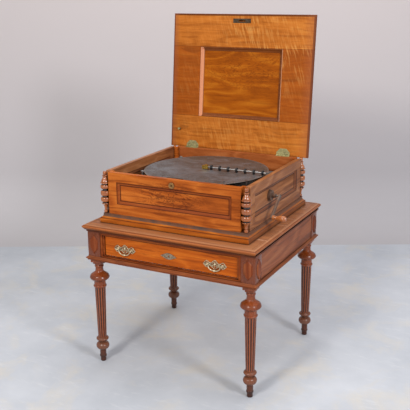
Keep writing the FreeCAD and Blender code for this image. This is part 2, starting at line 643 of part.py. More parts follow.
def make_drawer():
    half = s.drawer_width / 2
    front = table_body("drawer_front")
    add_box(front, "face", (0 - half, drawer_front_y, s.drawer_low),
            (half, drawer_front_y + s.drawer_front_thick, s.drawer_high))
    box = table_body("drawer_box")
    side_low = s.drawer_low + 1.0
    side_high = s.drawer_high - s.drawer_side_drop
    start = drawer_front_y + s.drawer_front_thick
    thick = s.drawer_side_thick
    for side in (-1, 1):
        edges = sorted([half * side, (half - thick) * side], key=number_of)
        add_box(box, "side_%d" % (side + 1), (edges[0], start, side_low),
                (edges[1], drawer_back_y, side_high))
    add_box(box, "back", (thick - half, drawer_back_y - thick, side_low),
            (half - thick, drawer_back_y, side_high))
    add_box(box, "bottom", (thick - half, start, side_low + 3.0),
            (half - thick, drawer_back_y - thick, side_low + 3.0 + s.drawer_bottom_thick))
    runners = table_body("drawer_runners")
    board_side = frieze_half_width - s.board_inset - s.board_thick
    for side in (-1, 1):
        edges = sorted([board_side * side, (half - thick * 2) * side], key=number_of)
        top = s.drawer_low + 1.0 - s.seat_gap
        inner_y = half_reach - s.block_size / 2
        add_box(runners, "rest_%d" % (side + 1), (edges[0], 0 - inner_y, top - s.runner_thick),
                (edges[1], inner_y, top))


def make_pulls():
    """Pierced three-lobed plates, and a swinging bail on each with a knop at its middle."""
    plates = table_body("pull_plates")
    face = 0 - drawer_front_y
    for side in (-1, 1):
        name = "plate_%d" % (side + 1)
        middle = s.pull_place * side
        drawn = sketch(plates, name, "XZ_Plane", [lobed_plate(middle)] + plate_holes(middle), face)
        pad(plates, drawn, s.pull_plate_thick)
        for ear in (-1, 1):
            x = middle + s.bail_span / 2 * ear
            post = sketch(plates, "%s_ear_%d" % (name, ear + 1), "XZ_Plane",
                          [("circle", x, s.pull_height, s.ear_radius)], face + s.pull_plate_thick)
            pad(plates, post, s.bail_stand + s.bail_radius + 1.0 - s.pull_plate_thick)
            bore = sketch(plates, "%s_bore_%d" % (name, ear + 1), "YZ_Plane",
                          [("circle", 0 - face - s.bail_stand, s.pull_height, s.bail_radius + 0.1)], x - 6.0)
            pocket(plates, bore, 12.0, True)
    for side, label in ((-1, "pull_bail_left"), (1, "pull_bail_right")):
        make_bail(label, s.pull_place * side, drawer_front_y - s.bail_stand)


def lobed_plate(middle):
    """Outline of three joined lobes, wider in the middle."""
    half = s.pull_width / 2
    tall = s.pull_tall / 2
    z = s.pull_height + 2.0
    waist = tall * 0.45
    return [(middle - half * 0.98, z - waist * 0.4, tall * 0.28),
            (middle - half * 0.42, z - waist, tall * 0.3),
            (middle + half * 0.42, z - waist, tall * 0.28),
            (middle + half * 0.98, z - waist * 0.4, half * 0.05),
            (middle + half * 0.98, z + waist * 0.8, tall * 0.35),
            (middle + half * 0.36, z + tall * 0.62, tall * 0.4),
            (middle - half * 0.36, z + tall * 0.62, tall * 0.35),
            (middle - half * 0.98, z + waist * 0.8, half * 0.05)]


def plate_holes(middle):
    half = s.pull_width / 2
    z = s.pull_height + s.pull_tall * 0.18
    return [("circle", middle + half * share, z, s.pull_tall * 0.1) for share in (-0.4, 0.4)]


def make_bail(label, middle, y):
    """A drop handle: a round wire that hangs from the two ears of its plate, with a knop at its middle."""
    body = table_body(label, middle, y, s.pull_height)
    reach = s.bail_span / 2 - s.ear_radius - s.bail_radius - s.bail_gap
    path = body.newObject("Sketcher::SketchObject", label + "_path")
    plane = [part for part in body.Origin.OriginFeatures if part.Role == "XZ_Plane"][0]
    path.AttachmentSupport = [(plane, "")]
    path.MapMode = "FlatFace"
    bow = [(0 - reach, 0.0), (0 - reach, 0 - s.bail_drop * 0.45), (0 - reach * 0.62, 0 - s.bail_drop * 0.9),
           (0 - reach * 0.24, 0 - s.bail_drop)]
    bow += [(0 - u, v) for u, v in reversed(bow)]
    add_loop(path, bow, closed=False)
    section = sketch(body, "wire", "XY_Plane", [("circle", 0 - reach, 0.0, s.bail_radius)])
    pipe = body.newObject("PartDesign::AdditivePipe", label + "_bow")
    pipe.Profile = section
    pipe.Spine = (path, [])
    pipe.Transition = "Right corner"
    for side in (-1, 1):
        drawn = sketch(body, "pivot_%d" % (side + 1), "YZ_Plane", [("circle", 0.0, 0.0, s.bail_radius)],
                       (reach - 1.0) * side)
        pad(body, drawn, s.ear_radius + 4.0, side < 0)
    knop = s.bail_radius * 1.8
    corners, _ = turned_profile(bobbin(s.bail_radius * 0.8, knop, knop * 2.2), 0 - s.bail_drop - knop * 1.1)
    turn(body, sketch(body, "knop", "XZ_Plane", [corners]))


def keyplate(middle_z):
    """Outline of a key plate with pointed lobes at its sides, and its keyhole."""
    half = s.keyplate_width / 2
    tall = s.keyplate_tall / 2
    outline = [(0 - half, middle_z), (0 - half * 0.45, middle_z - tall * 0.6, tall * 0.3),
               (half * 0.45, middle_z - tall * 0.6), (half, middle_z),
               (half * 0.45, middle_z + tall * 0.7, tall * 0.3), (0 - half * 0.45, middle_z + tall * 0.7)]
    return [outline, ("circle", 0.0, middle_z + 2.0, 3.0)]


def make_drawer_lock():
    middle = s.pull_height + 3.0
    plate = table_body("drawer_escutcheon")
    pad(plate, sketch(plate, "plate", "XZ_Plane", keyplate(middle), 0 - drawer_front_y), s.pull_plate_thick)
    lock = table_body("drawer_lock")
    back = drawer_front_y + s.drawer_front_thick
    half = s.lock_width / 2
    top = s.drawer_high - 2.0
    add_box(lock, "shell", (0 - half, back, top - s.lock_tall), (half, back + s.lock_thick, top))


# Case


def notched(half_x, half_y, corner_x, corner_y):
    """A rectangle with a step cut out of each corner."""
    return [(0 - corner_x, 0 - half_y), (corner_x, 0 - half_y), (corner_x, 0 - corner_y),
            (half_x, 0 - corner_y),
            (half_x, corner_y), (corner_x, corner_y), (corner_x, half_y), (0 - corner_x, half_y),
            (0 - corner_x, corner_y), (0 - half_x, corner_y), (0 - half_x, 0 - corner_y), (0 - corner_x,
                                                                                           0 - corner_y)]


def rounded(low_x, low_y, high_x, high_y, radius):
    """A rectangle with rounded corners."""
    bulge = radius * 0.292893
    return [(low_x + radius, low_y), (high_x - radius, low_y, bulge), (high_x, low_y + radius),
            (high_x, high_y - radius, bulge), (high_x - radius, high_y), (low_x + radius, high_y, bulge),
            (low_x, high_y - radius), (low_x, low_y + radius, bulge)]


inner_x = case_half_width - s.wall_thick
inner_y = case_half_depth - s.wall_thick
notch_x = case_half_width - notch
notch_y = case_half_depth - notch


def sunk_panel(body, role, half_width, face, sign):
    """A stepped and bevelled recess in a wall's outer face."""
    drawn = []
    for inset, depth in ((0.0, 0.0), (s.panel_step, s.panel_step * 0.7),
                         (s.panel_step * 1.3, s.panel_depth * 0.6), (s.panel_bevel, s.panel_depth)):
        loop = box_loop(inset - half_width, s.panel_low + inset, half_width - inset, s.panel_high - inset)
        drawn.append(sketch(body, "sunk_%d" % len(drawn), role, [loop], (face - depth) * sign))
    loft = body.newObject("PartDesign::SubtractiveLoft", body.Label + "_sunk")
    loft.Profile = drawn[0]
    loft.Sections = drawn[1:]
    loft.Ruled = True


def make_case_walls():
    front = case_body("case_front")
    add_box(front, "board", (0 - notch_x, 0 - case_half_depth, s.plinth_height),
            (notch_x, 0 - inner_y, s.case_height))
    sunk_panel(front, "XZ_Plane", s.panel_width / 2, case_half_depth, 1)
    keyway = ("circle", 0.0, s.keyhole_height, s.keyhole_ring_radius * 0.3)
    pocket(front, sketch(front, "keyway", "XZ_Plane", [keyway], case_half_depth), s.wall_thick)
    back = case_body("case_back")
    add_box(back, "board", (0 - notch_x, inner_y, s.plinth_height),
            (notch_x, case_half_depth, s.case_height))
    for side in (-1, 1):
        middle = s.hinge_place * side
        half = s.hinge_width / 2
        loop = box_loop(middle - half, case_half_depth + hinge_out - s.hinge_leaf_reach, middle + half,
                        case_half_depth)
        pocket(back, sketch(back, "mortise_%d" % (side + 1), "XY_Plane", [loop], s.case_height),
               s.hinge_leaf_thick)
    for label, side in (("case_left", -1), ("case_right", 1)):
        wall = case_body(label)
        edges = sorted([inner_x * side, case_half_width * side], key=number_of)
        add_box(wall, "board", (edges[0], 0 - notch_y, s.plinth_height), (edges[1], notch_y, s.case_height))
        sunk_panel(wall, "YZ_Plane", s.side_panel_width / 2, case_half_width, side)
        if side == 1:
            way = ("circle", barrel_y, s.crank_height, s.crank_shaft_radius + s.shaft_way_gap)
            pocket(wall, sketch(wall, "shaft_way", "YZ_Plane", [way], case_half_width), s.wall_thick)


def make_case_base():
    floor = case_body("case_floor")
    drawn = sketch(floor, "board", "XY_Plane", [notched(inner_x, inner_y, notch_x, notch_y)], s.floor_lift)
    pad(floor, drawn, s.floor_thick)
    plinth = case_body("case_plinth")
    outer = box_loop(0 - case_half_width, 0 - case_half_depth, case_half_width, case_half_depth)
    drawn = sketch(plinth, "frame", "XY_Plane", [outer, notched(inner_x, inner_y, notch_x, notch_y)])
    pad(plinth, drawn, s.plinth_height)
    out = s.plinth_out
    low = s.plinth_board
    high = s.plinth_height
    profile = [(0.0, 0.0), (out, 0.0), (out, low - 1.5), (out * 0.8, low), (out * 0.7, low + 1.5, -3.0),
               (out * 0.12, high - 2.0), (out * 0.12, high), (0.0, high)]
    moulding(plinth, "cove", case_half_width, case_half_depth, profile)
    posts = case_body("corner_posts")
    for side in (-1, 1):
        for end in (-1, 1):
            corners = [(post_edge_x, post_edge_y), (inner_x, post_edge_y), (inner_x, notch_y),
                       (notch_x, notch_y), (notch_x, inner_y), (post_edge_x, inner_y)]
            loop = [(x * side, y * end) for x, y in corners]
            if side * end < 0:
                loop.reverse()
            drawn = sketch(posts, "post_%d_%d" % (side + 1, end + 1), "XY_Plane", [loop], floor_top)
            pad(posts, drawn, s.case_height - floor_top)


def column_stages():
    """Turned column from its lower tip to its top ball."""
    low = bobbin(s.tip_radius, s.tip_ball_radius, s.tip_height)
    rings = ring(s.groove_radius, s.thin_ring_radius, s.thin_ring_height)
    for tall, below in ((s.low_bobbin, s.groove_height), (s.middle_bobbin, s.groove_height),
                        (s.high_bobbin, s.deep_groove_height)):
        rings += [(s.groove_radius, 0.0, 0.0), (s.groove_radius, below, 0.0)]
        rings += bobbin(s.groove_radius + 2.0, s.bobbin_radius, tall)
    rings += [(s.groove_radius, 0.0, 0.0), (s.groove_radius, s.groove_height, 0.0)]
    rings += ring(s.groove_radius, s.high_ring_radius, s.thin_ring_height)
    rings += [(s.vase_low_radius, 0.0, 0.0), (s.vase_high_radius, s.vase_height, -2.5)]
    rings += ring(s.vase_high_radius, s.top_ring_radius, s.top_ring_height)
    rings += bobbin(s.tip_radius, s.top_ball_radius, s.top_ball_height)
    used = s.plinth_height
    for _, height, _ in low + rings:
        used = used + height
    return low + [(s.stem_radius, 0.0, 0.0), (s.groove_radius, s.case_height - used, -1.0)] + rings


def make_corner_columns():
    body = case_body("corner_columns")
    place_x = case_half_width - s.column_inset
    place_y = case_half_depth - s.column_inset
    for side in (-1, 1):
        for end in (-1, 1):
            corners, _ = turned_profile(column_stages(), s.plinth_height)
            drawn = sketch(body, "column_%d_%d" % (side + 1, end + 1), "XZ_Plane", [corners], place_y * end,
                           place_x * side)
            turn(body, drawn)


def make_case_lock():
    ring = case_body("lock_escutcheon")
    radius = s.keyhole_ring_radius
    circles = [("circle", 0.0, s.keyhole_height, radius), ("circle", 0.0, s.keyhole_height, radius * 0.26)]
    drawn = sketch(ring, "disc", "XZ_Plane", circles, case_half_depth)
    pad(ring, drawn, s.keyhole_ring_thick)
    lock = case_body("case_lock")
    back = 0 - inner_y + s.case_lock_thick
    half = s.case_lock_width / 2
    add_box(lock, "shell", (0 - half, 0 - inner_y, s.case_height - s.case_lock_tall),
            (half, back, s.case_height))
    half = s.bolt_width / 2 + s.bolt_gap
    deep = s.bolt_thick / 2 + s.bolt_gap
    loop = box_loop(0 - half, bolt_y - deep, half, bolt_y + deep)
    pocket(lock, sketch(lock, "bolt_way", "XY_Plane", [loop], s.case_height), s.bolt_tall + s.bolt_gap * 2)
    bolt = case_body("lock_bolt")
    half = s.bolt_width / 2
    deep = s.bolt_thick / 2
    top = s.case_height - s.bolt_gap
    add_box(bolt, "bolt", (0 - half, bolt_y - deep, top - s.bolt_tall), (half, bolt_y + deep, top))


bolt_y = 0 - inner_y + s.case_lock_thick / 2


# Lid, drawn shut


def make_lid():
    frame = lid_body("lid_frame")
    low = s.seat_gap
    edge = s.lid_edge
    half_width = s.lid_width / 2 - edge
    near = s.lid_rear_overhang - edge
    far = 0 - s.lid_length + edge
    middle = (near + far) / 2
    half_depth = (near - far) / 2
    opening = box_loop(0 - s.lid_opening_width / 2, 0 - s.lid_opening_far, s.lid_opening_width / 2,
                       0 - s.lid_opening_near)
    drawn = sketch(frame, "rails", "XY_Plane", [box_loop(0 - half_width, far, half_width, near), opening],
                   low)
    pad(frame, drawn, s.lid_thick)
    thick = s.lid_thick
    profile = [(0.0, 0.0), (edge * 0.8, 0.0), (edge, thick * 0.12), (edge, thick * 0.5, thick * 0.03),
               (edge * 0.65, thick * 0.7, thick * 0.03), (edge * 0.2, thick * 0.97), (0.0, thick)]
    moulding(frame, "edge", half_width, half_depth, profile, middle=middle, height=low)
    for side in (-1, 1):
        place = s.hinge_place * side
        drawn = sketch(frame, "mortise_%d" % (side + 1), "XY_Plane", [lid_leaf(place, s.lid_rear_overhang)],
                       low)
        pocket(frame, drawn, s.hinge_leaf_thick, True)
        half = s.hinge_width / 2 + s.knuckle_gap
        loop = box_loop(place - half, 0 - hinge_out, place + half, s.lid_rear_overhang)
        drawn = sketch(frame, "knuckle_way_%d" % (side + 1), "XY_Plane", [loop], low)
        pocket(frame, drawn, hinge_out - low, True)
    strike_y = bolt_y - case_half_depth - hinge_out
    plate = box_loop(0 - s.strike_width / 2, strike_y - s.strike_reach / 2, s.strike_width / 2,
                     strike_y + s.strike_reach / 2)
    slot = box_loop(0 - s.strike_slot_width / 2, strike_y - s.strike_slot_reach / 2, s.strike_slot_width / 2,
                    strike_y + s.strike_slot_reach / 2)
    pocket(frame, sketch(frame, "strike_seat", "XY_Plane", [plate], low), s.strike_thick, True)
    pocket(frame, sketch(frame, "strike_way", "XY_Plane", [slot], low), s.strike_slot_depth, True)
    strike = lid_body("strike_plate")
    pad(strike, sketch(strike, "plate", "XY_Plane", [plate, slot], low), s.strike_thick)
    panel = lid_body("lid_panel")
    pad(panel, sketch(panel, "board", "XY_Plane", [opening], low + s.lid_panel_sink), s.lid_panel_thick)
    bead_ring = lid_body("lid_moulding")
    half_depth = (s.lid_opening_far - s.lid_opening_near) / 2
    middle = 0 - (s.lid_opening_far + s.lid_opening_near) / 2
    wide = s.lid_bead_width
    sink = s.lid_panel_sink
    profile = [(0.0, sink), (0 - wide, sink), (0 - wide * 0.82, sink * 0.8, sink * 0.09),
               (0 - wide * 0.3, sink * 0.3), (0 - wide * 0.2, sink * 0.12), (0.0, sink * 0.12)]
    profile.reverse()
    profile = shift_bulges(profile)
    moulding(bead_ring, "bead", s.lid_opening_width / 2, half_depth, profile, middle=middle, height=low)
    screw = lid_body("stay_screw")
    head = ("circle", 0 - s.stay_place, 0 - s.stay_reach, s.stay_radius)
    pad(screw, sketch(screw, "head", "XY_Plane", [head], low - s.stay_tall), s.stay_tall)


def lid_leaf(place, end):
    """Outline of the lid's hinge leaf, which narrows away from the pin, from its tip to a given end."""
    half = s.hinge_width / 2
    tip = half * s.lid_leaf_taper
    return [(place - tip, 0 - s.lid_leaf_reach), (place + tip, 0 - s.lid_leaf_reach),
            (place + half, 0 - s.lid_leaf_reach * 0.45), (place + half, end), (place - half, end),
            (place - half, 0 - s.lid_leaf_reach * 0.45)]


def shift_bulges(profile):
    """After a loop is reversed, hand each bulge on to the corner where its arc now begins."""
    plain = [corner if len(corner) == 3 else (corner[0], corner[1], 0.0) for corner in profile]
    return [(plain[i][0], plain[i][1], plain[(i + 1) % len(plain)][2]) for i in range(len(plain))]


def make_hinges():
    """Two butt hinges: the case's leaves carry the outer knuckles and the pins."""
    fixed = case_body("case_hinge_leaves", y=case_half_depth + hinge_out, z=s.case_height)
    moving = lid_body("lid_hinge_leaves")
    half = s.hinge_width / 2
    third = s.hinge_width / 6
    gap = s.knuckle_gap / 2
    edge = 0 - s.knuckle_radius - s.knuckle_gap
    for side in (-1, 1):
        place = s.hinge_place * side
        name = "hinge_%d" % (side + 1)
        plate = [(place - half, 0 - s.hinge_leaf_reach), (place + half, 0 - s.hinge_leaf_reach),
                 (place + half, 0.0), (place + third + gap, 0.0), (place + third + gap, edge),
                 (place - third - gap, edge),
                 (place - third - gap, 0.0), (place - half, 0.0)]
        pad(fixed, sketch(fixed, name, "XY_Plane", [plate], 0 - s.hinge_leaf_thick), s.hinge_leaf_thick)
        for end in (-1, 1):
            start = place + (third + gap) * end
            drawn = sketch(fixed, "%s_knuckle_%d" % (name, end + 1), "YZ_Plane",
                           [("circle", 0.0, 0.0, s.knuckle_radius)], start)
            pad(fixed, drawn, half - third - gap, end < 0)
        pin = sketch(fixed, name + "_pin", "YZ_Plane", [("circle", 0.0, 0.0, s.hinge_pin_radius)],
                     place - third - gap - 1.0)
        pad(fixed, pin, (third + gap + 1.0) * 2)
        outline = lid_leaf(place, edge)
        plate = outline[:4] + [(place + third - gap, edge), (place + third - gap, 0.0),
                               (place - third + gap, 0.0), (place - third + gap, edge)] + outline[4:]
        pad(moving, sketch(moving, name, "XY_Plane", [plate], s.seat_gap), s.hinge_leaf_thick)
        knuckle = sketch(moving, name + "_knuckle", "YZ_Plane", [("circle", 0.0, 0.0, s.knuckle_radius)],
                         place - third + gap)
        pad(moving, knuckle, (third - gap) * 2)
        bore = sketch(moving, name + "_bore", "YZ_Plane",
                      [("circle", 0.0, 0.0, s.hinge_pin_radius + s.running_gap)], place - third + gap)
        pocket(moving, bore, (third - gap) * 2, True)


# Gears


def gear(body, name, role, u, v, low, thick, module, teeth, phase, bore=None, height=1.0):
    """A wheel of straight-sided teeth. The first tooth points along the phase, in degrees."""
    pitch = module * teeth / 2
    root = pitch - module * 1.15 * height
    tip = pitch + module * 0.9 * height
    loops = [("circle", u, v, root)]
    if bore is not None:
        loops.append(("circle", u, v, bore))
    pad(body, sketch(body, name + "_blank", role, loops, low), thick)
    corners = []
    for radius, half in ((root - module * 0.5, 0 - module * 0.8), (pitch, 0 - module * 0.6),
                         (tip, 0 - module * 0.3), (tip, module * 0.3), (pitch, module * 0.6),
                         (root - module * 0.5, module * 0.8)):
        corners.append((radius * cosine(phase) - half * sine(phase),
                        radius * sine(phase) + half * cosine(phase)))
    centred = centred_sketch(body, name + "_tooth", role, [corners], low, u, v)
    around(body, pad(body, centred, thick), centred, teeth)


def centred_sketch(body, name, role, loops, offset, u, v):
    """A sketch whose own origin stands at (u, v) on its plane."""
    made = sketch(body, name, role, loops, offset, u)
    base = made.AttachmentOffset.Base
    made.AttachmentOffset = FreeCAD.Placement(Vector(base.x, number_of(v), base.z), FreeCAD.Rotation())
    bind(made, "AttachmentOffset.Base.y", v)
    return made


# Movement


def make_bedplate():
    body = case_body("bedplate")
    half_x = s.bed_width / 2
    half_y = s.bed_depth / 2
    outer = rounded(0 - half_x, 0 - half_y, half_x, half_y, s.bed_corner)
    loops = [outer, ("circle", 0.0, 0.0, s.arbor_radius + s.running_gap),
             ("circle", barrel_x, barrel_y, s.arbor_radius + s.running_gap),
             ("circle", governor_x, governor_y, s.small_arbor_radius + s.running_gap),
             ("circle", fan_x, fan_y, s.small_arbor_radius + s.running_gap)]
    pad(body, sketch(body, "plate", "XY_Plane", loops, bed_low), s.bed_thick)
    for index, (low_x, low_y, high_x, high_y) in enumerate(((-0.8, 0.12, -0.2, 0.78),
                                                            (-0.8, -0.72, -0.42, -0.12),
                                                           (0.16, 0.42, 0.78, 0.8))):
        window = rounded(half_x * low_x, half_y * low_y, half_x * high_x, half_y * high_y, s.bed_corner / 2)
        pocket(body, sketch(body, "window_%d" % index, "XY_Plane", [window], s.bed_top), s.bed_thick)
    add_drum(body, "collar", 0.0, 0.0, s.bed_top, s.bed_top + s.arbor_radius * 2, s.arbor_radius * 2.2,
             s.arbor_radius + s.running_gap)
    for sign in (-1, 1):
        edges = sorted([(comb_back - s.comb_seat_width) * sign, comb_back * sign], key=number_of)
        add_box(body, "comb_seat_%d" % (sign + 1), (comb_start, edges[0], s.bed_top),
                (comb_start + comb_length, edges[1], s.star_height - s.comb_thick / 2))
    half = s.bearing_lug_width / 2
    x = s.bearing_lug_place
    add_box(body, "lug", (x, barrel_y - half, s.crank_height - half), (x + s.bearing_lug_thick,
            barrel_y + half, bed_low))
    drawn = sketch(body, "lug_bore", "YZ_Plane",
                   [("circle", barrel_y, s.crank_height, s.crank_shaft_radius + s.running_gap)], x)
    pocket(body, drawn, s.bearing_lug_thick, True)
    click_x = barrel_x + s.click_reach * cosine(s.click_angle)
    click_y = barrel_y + s.click_reach * sine(s.click_angle)
    add_drum(body, "click_pin", click_x, click_y, ratchet_low, bed_low, s.click_radius / 2)
    radius = s.lever_pin_radius
    place = (s.lever_pivot, s.lever_y)
    low = s.bed_top + s.lever_lift - s.seat_gap
    high = low + s.lever_thick + s.seat_gap * 2
    add_drum(body, "lever_foot", *place, s.bed_top, low, radius * 2)
    add_drum(body, "lever_pin", *place, low, high, radius)
    add_drum(body, "lever_head", *place, high, high + 2.0, radius * 1.8)


comb_start = s.star_first - s.star_pitch / 2
comb_length = s.comb_teeth * s.comb_tooth_pitch
comb_tip = s.star_radius + s.comb_tip_gap
comb_back = comb_tip + s.comb_reach


def make_bed_posts():
    body = case_body("bed_posts")
    x = s.bed_width / 2 - s.bed_post_inset
    y = s.bed_depth / 2 - s.bed_post_inset
    radius = s.bed_post_radius
    tall = bed_low - floor_top
    stages = [(radius * 1.3, 0.0, 0.0), (radius * 1.3, tall * 0.07, 0.0), (radius * 0.75, tall * 0.16, 0.0),
              (radius * 0.75, tall * 0.55, 0.0), (radius, tall * 0.16, 0.0), (radius, tall * 0.06, 0.0)]
    for side in (-1, 1):
        for end in (-1, 1):
            corners, _ = turned_profile(stages, floor_top)
            turn(body, sketch(body, "post_%d_%d" % (side + 1, end + 1), "XZ_Plane", [corners], y * end,
                              x * side))


def make_motor_plate():
    body = case_body("motor_plate")
    low = s.motor_plate_top - s.motor_plate_thick
    left = 0 - s.motor_plate_left
    front = 0 - s.motor_plate_front
    loops = [rounded(left, front, s.motor_plate_right, s.motor_plate_back, s.motor_plate_corner),
             ("circle", 0.0, 0.0, s.arbor_radius + s.running_gap),
             ("circle", barrel_x, barrel_y, s.arbor_radius + s.running_gap),
             ("circle", governor_x, governor_y, s.small_arbor_radius + s.running_gap),
             ("circle", fan_x, fan_y, s.small_arbor_radius + s.running_gap)]
    pad(body, sketch(body, "plate", "XY_Plane", loops, low), s.motor_plate_thick)
    inset = s.motor_pillar_inset
    for column, x in enumerate((left + inset, s.motor_plate_right - inset)):
        for row, y in enumerate((front + inset, s.motor_plate_back - inset)):
            add_drum(body, "pillar_%d_%d" % (column, row), x, y, s.motor_plate_top, bed_low,
                     s.motor_pillar_radius)


def make_turntable():
    body = case_body("turntable")
    foot = s.motor_plate_top - s.motor_plate_thick
    add_drum(body, "arbor", 0.0, 0.0, foot, disc_low - s.flange_thick, s.arbor_radius)
    add_drum(body, "flange", 0.0, 0.0, disc_low - s.flange_thick, disc_low, s.flange_radius)
    add_drum(body, "spindle", 0.0, 0.0, disc_low, disc_low + s.spindle_rise, s.spindle_radius)
    for side in (-1, 1):
        add_drum(body, "drive_pin_%d" % (side + 1), s.drive_pin_place * side, 0.0, disc_low,
                 s.disc_top + 1.5,
                 s.drive_pin_radius)
    gear(body, "pinion", "XY_Plane", 0.0, 0.0, great_low, s.great_thick, s.great_module, s.turntable_teeth,
         s.barrel_angle)
    gear(body, "wheel", "XY_Plane", 0.0, 0.0, crown_plane + 1.0, s.wheel_thick, s.governor_module,
         s.governor_teeth,
         s.governor_angle)
    disc = case_body("disc")
    loops = [("circle", 0.0, 0.0, s.disc_radius), ("circle", 0.0, 0.0, s.disc_bore)]
    for side in (-1, 1):
        loops.append(("circle", s.drive_pin_place * side, 0.0, s.drive_hole_radius))
    pad(disc, sketch(disc, "sheet", "XY_Plane", loops, disc_low), s.disc_thick)


def make_spring_motor():
    barrel = case_body("spring_barrel")
    bore = s.arbor_radius + s.running_gap
    add_drum(barrel, "drum", barrel_x, barrel_y, s.barrel_low, s.barrel_low + s.barrel_tall, s.barrel_radius,
             bore)
    add_drum(barrel, "hub", barrel_x, barrel_y, s.barrel_low + s.barrel_tall, great_low, s.arbor_radius * 2,
             bore)
    gear(barrel, "great_wheel", "XY_Plane", barrel_x, barrel_y, great_low, s.great_thick, s.great_module,
         s.great_teeth, s.barrel_angle + 180.0 + 180.0 / s.great_teeth, bore)
    arbor = case_body("winding_arbor")
    foot = s.motor_plate_top - s.motor_plate_thick
    add_drum(arbor, "arbor", barrel_x, barrel_y, foot, s.bed_top, s.arbor_radius)
    add_drum(arbor, "ratchet", barrel_x, barrel_y, ratchet_low, ratchet_low + s.ratchet_thick,
             s.ratchet_radius - s.ratchet_step)
    inner = s.ratchet_radius - s.ratchet_step
    slope = -90.0 - 345.0 / s.ratchet_teeth
    corners = [((inner - 1.5) * cosine(slope), (inner - 1.5) * sine(slope)),
               (inner * cosine(slope), inner * sine(slope)),
               (0.0, 0 - s.ratchet_radius), (0.0, 1.5 - inner)]
    tooth = centred_sketch(arbor, "ratchet_tooth", "XY_Plane", [corners], ratchet_low, barrel_x, barrel_y)
    around(arbor, pad(arbor, tooth, s.ratchet_thick), tooth, s.ratchet_teeth)
    rim_low = ratchet_low + s.ratchet_thick + 3.0
    outer = crown_pitch + s.crown_face / 2
    add_drum(arbor, "crown_web", barrel_x, barrel_y, rim_low, rim_low + 3.0, outer)
    root = crown_plane - s.crown_module
    add_drum(arbor, "crown_rim", barrel_x, barrel_y, rim_low + 3.0, root, outer, outer - s.crown_face)
    phase = 180.0 / s.crown_teeth
    half = s.crown_tooth_half
    corners = []
    inset = s.crown_tooth_inset
    for radius, across in ((outer - s.crown_face + inset, 0 - half), (outer - inset, 0 - half),
                           (outer - inset, half), (outer - s.crown_face + inset, half)):
        corners.append((radius * cosine(phase) - across * sine(phase),
                        radius * sine(phase) + across * cosine(phase)))
    tooth = centred_sketch(arbor, "crown_tooth", "XY_Plane", [corners], root, barrel_x, barrel_y)
    around(arbor, pad(arbor, tooth, s.crown_module * 1.8), tooth, s.crown_teeth)
    make_click()


def make_click():
    """The click that keeps the wound spring from running back, drawn lifted off its ratchet."""
    pivot_x = s.click_reach * cosine(s.click_angle)
    pivot_y = s.click_reach * sine(s.click_angle)
    body = case_body("ratchet_click", barrel_x + pivot_x, barrel_y + pivot_y, turn=s.click_lift)
    tip_x = s.click_gap - pivot_x
    tip_y = 0 - s.ratchet_radius - pivot_y
    heel = s.click_radius * 0.35
    side = s.click_radius * 0.675
    nose = s.ratchet_step * 0.4
    arm = [(tip_x, tip_y + nose), (tip_x, tip_y - nose), (0 - heel, 0 - side), (heel, side),
           (tip_x + s.ratchet_step * 2, tip_y)]
    low = ratchet_low + s.seat_gap
    thick = s.ratchet_thick - s.seat_gap
    pad(body, sketch(body, "arm", "XY_Plane", [arm], low), thick)
    add_drum(body, "ring", 0.0, 0.0, low, low + thick, s.click_radius)
    drill(body, "bore", 0.0, 0.0, low + thick, thick, s.click_radius / 2 + s.running_gap)


def make_governor():
    wheel = case_body("governor_wheel", governor_x, governor_y)
    foot = s.motor_plate_top - s.motor_plate_thick
    add_drum(wheel, "arbor", 0.0, 0.0, foot, s.bed_top, s.small_arbor_radius)
    low = crown_plane - 1.0
    gear(wheel, "pinion", "XY_Plane", 0.0, 0.0, low, s.wheel_thick + 4.0, s.governor_module,
         s.governor_pinion_teeth,
         s.governor_angle + 180.0 + 180.0 / s.governor_pinion_teeth, height=0.9)
    high = low + s.wheel_thick + 5.0
    gear(wheel, "wheel", "XY_Plane", 0.0, 0.0, high, s.wheel_thick, s.fan_module, s.fan_teeth,
         s.governor_angle)
    fan = case_body("governor_fan", fan_x, fan_y)
    add_drum(fan, "arbor", 0.0, 0.0, foot, s.bed_top, s.small_arbor_radius)
    gear(fan, "pinion", "XY_Plane", 0.0, 0.0, high - 1.0, s.wheel_thick + 2.0, s.fan_module,
         s.fan_pinion_teeth,
         s.governor_angle + 180.0 + 180.0 / s.fan_pinion_teeth, height=0.9)
    half = s.fan_blade_thick / 2
    blade_low = s.motor_plate_top + 6.0
    add_box(fan, "blade", (0 - s.fan_radius, 0 - half, blade_low),
            (s.fan_radius, half, blade_low + s.fan_tall))
    add_drum(fan, "brake", 0.0, 0.0, blade_low + s.fan_tall + 2.0,
             blade_low + s.fan_tall + 2.0 + s.brake_thick,
             s.brake_radius)


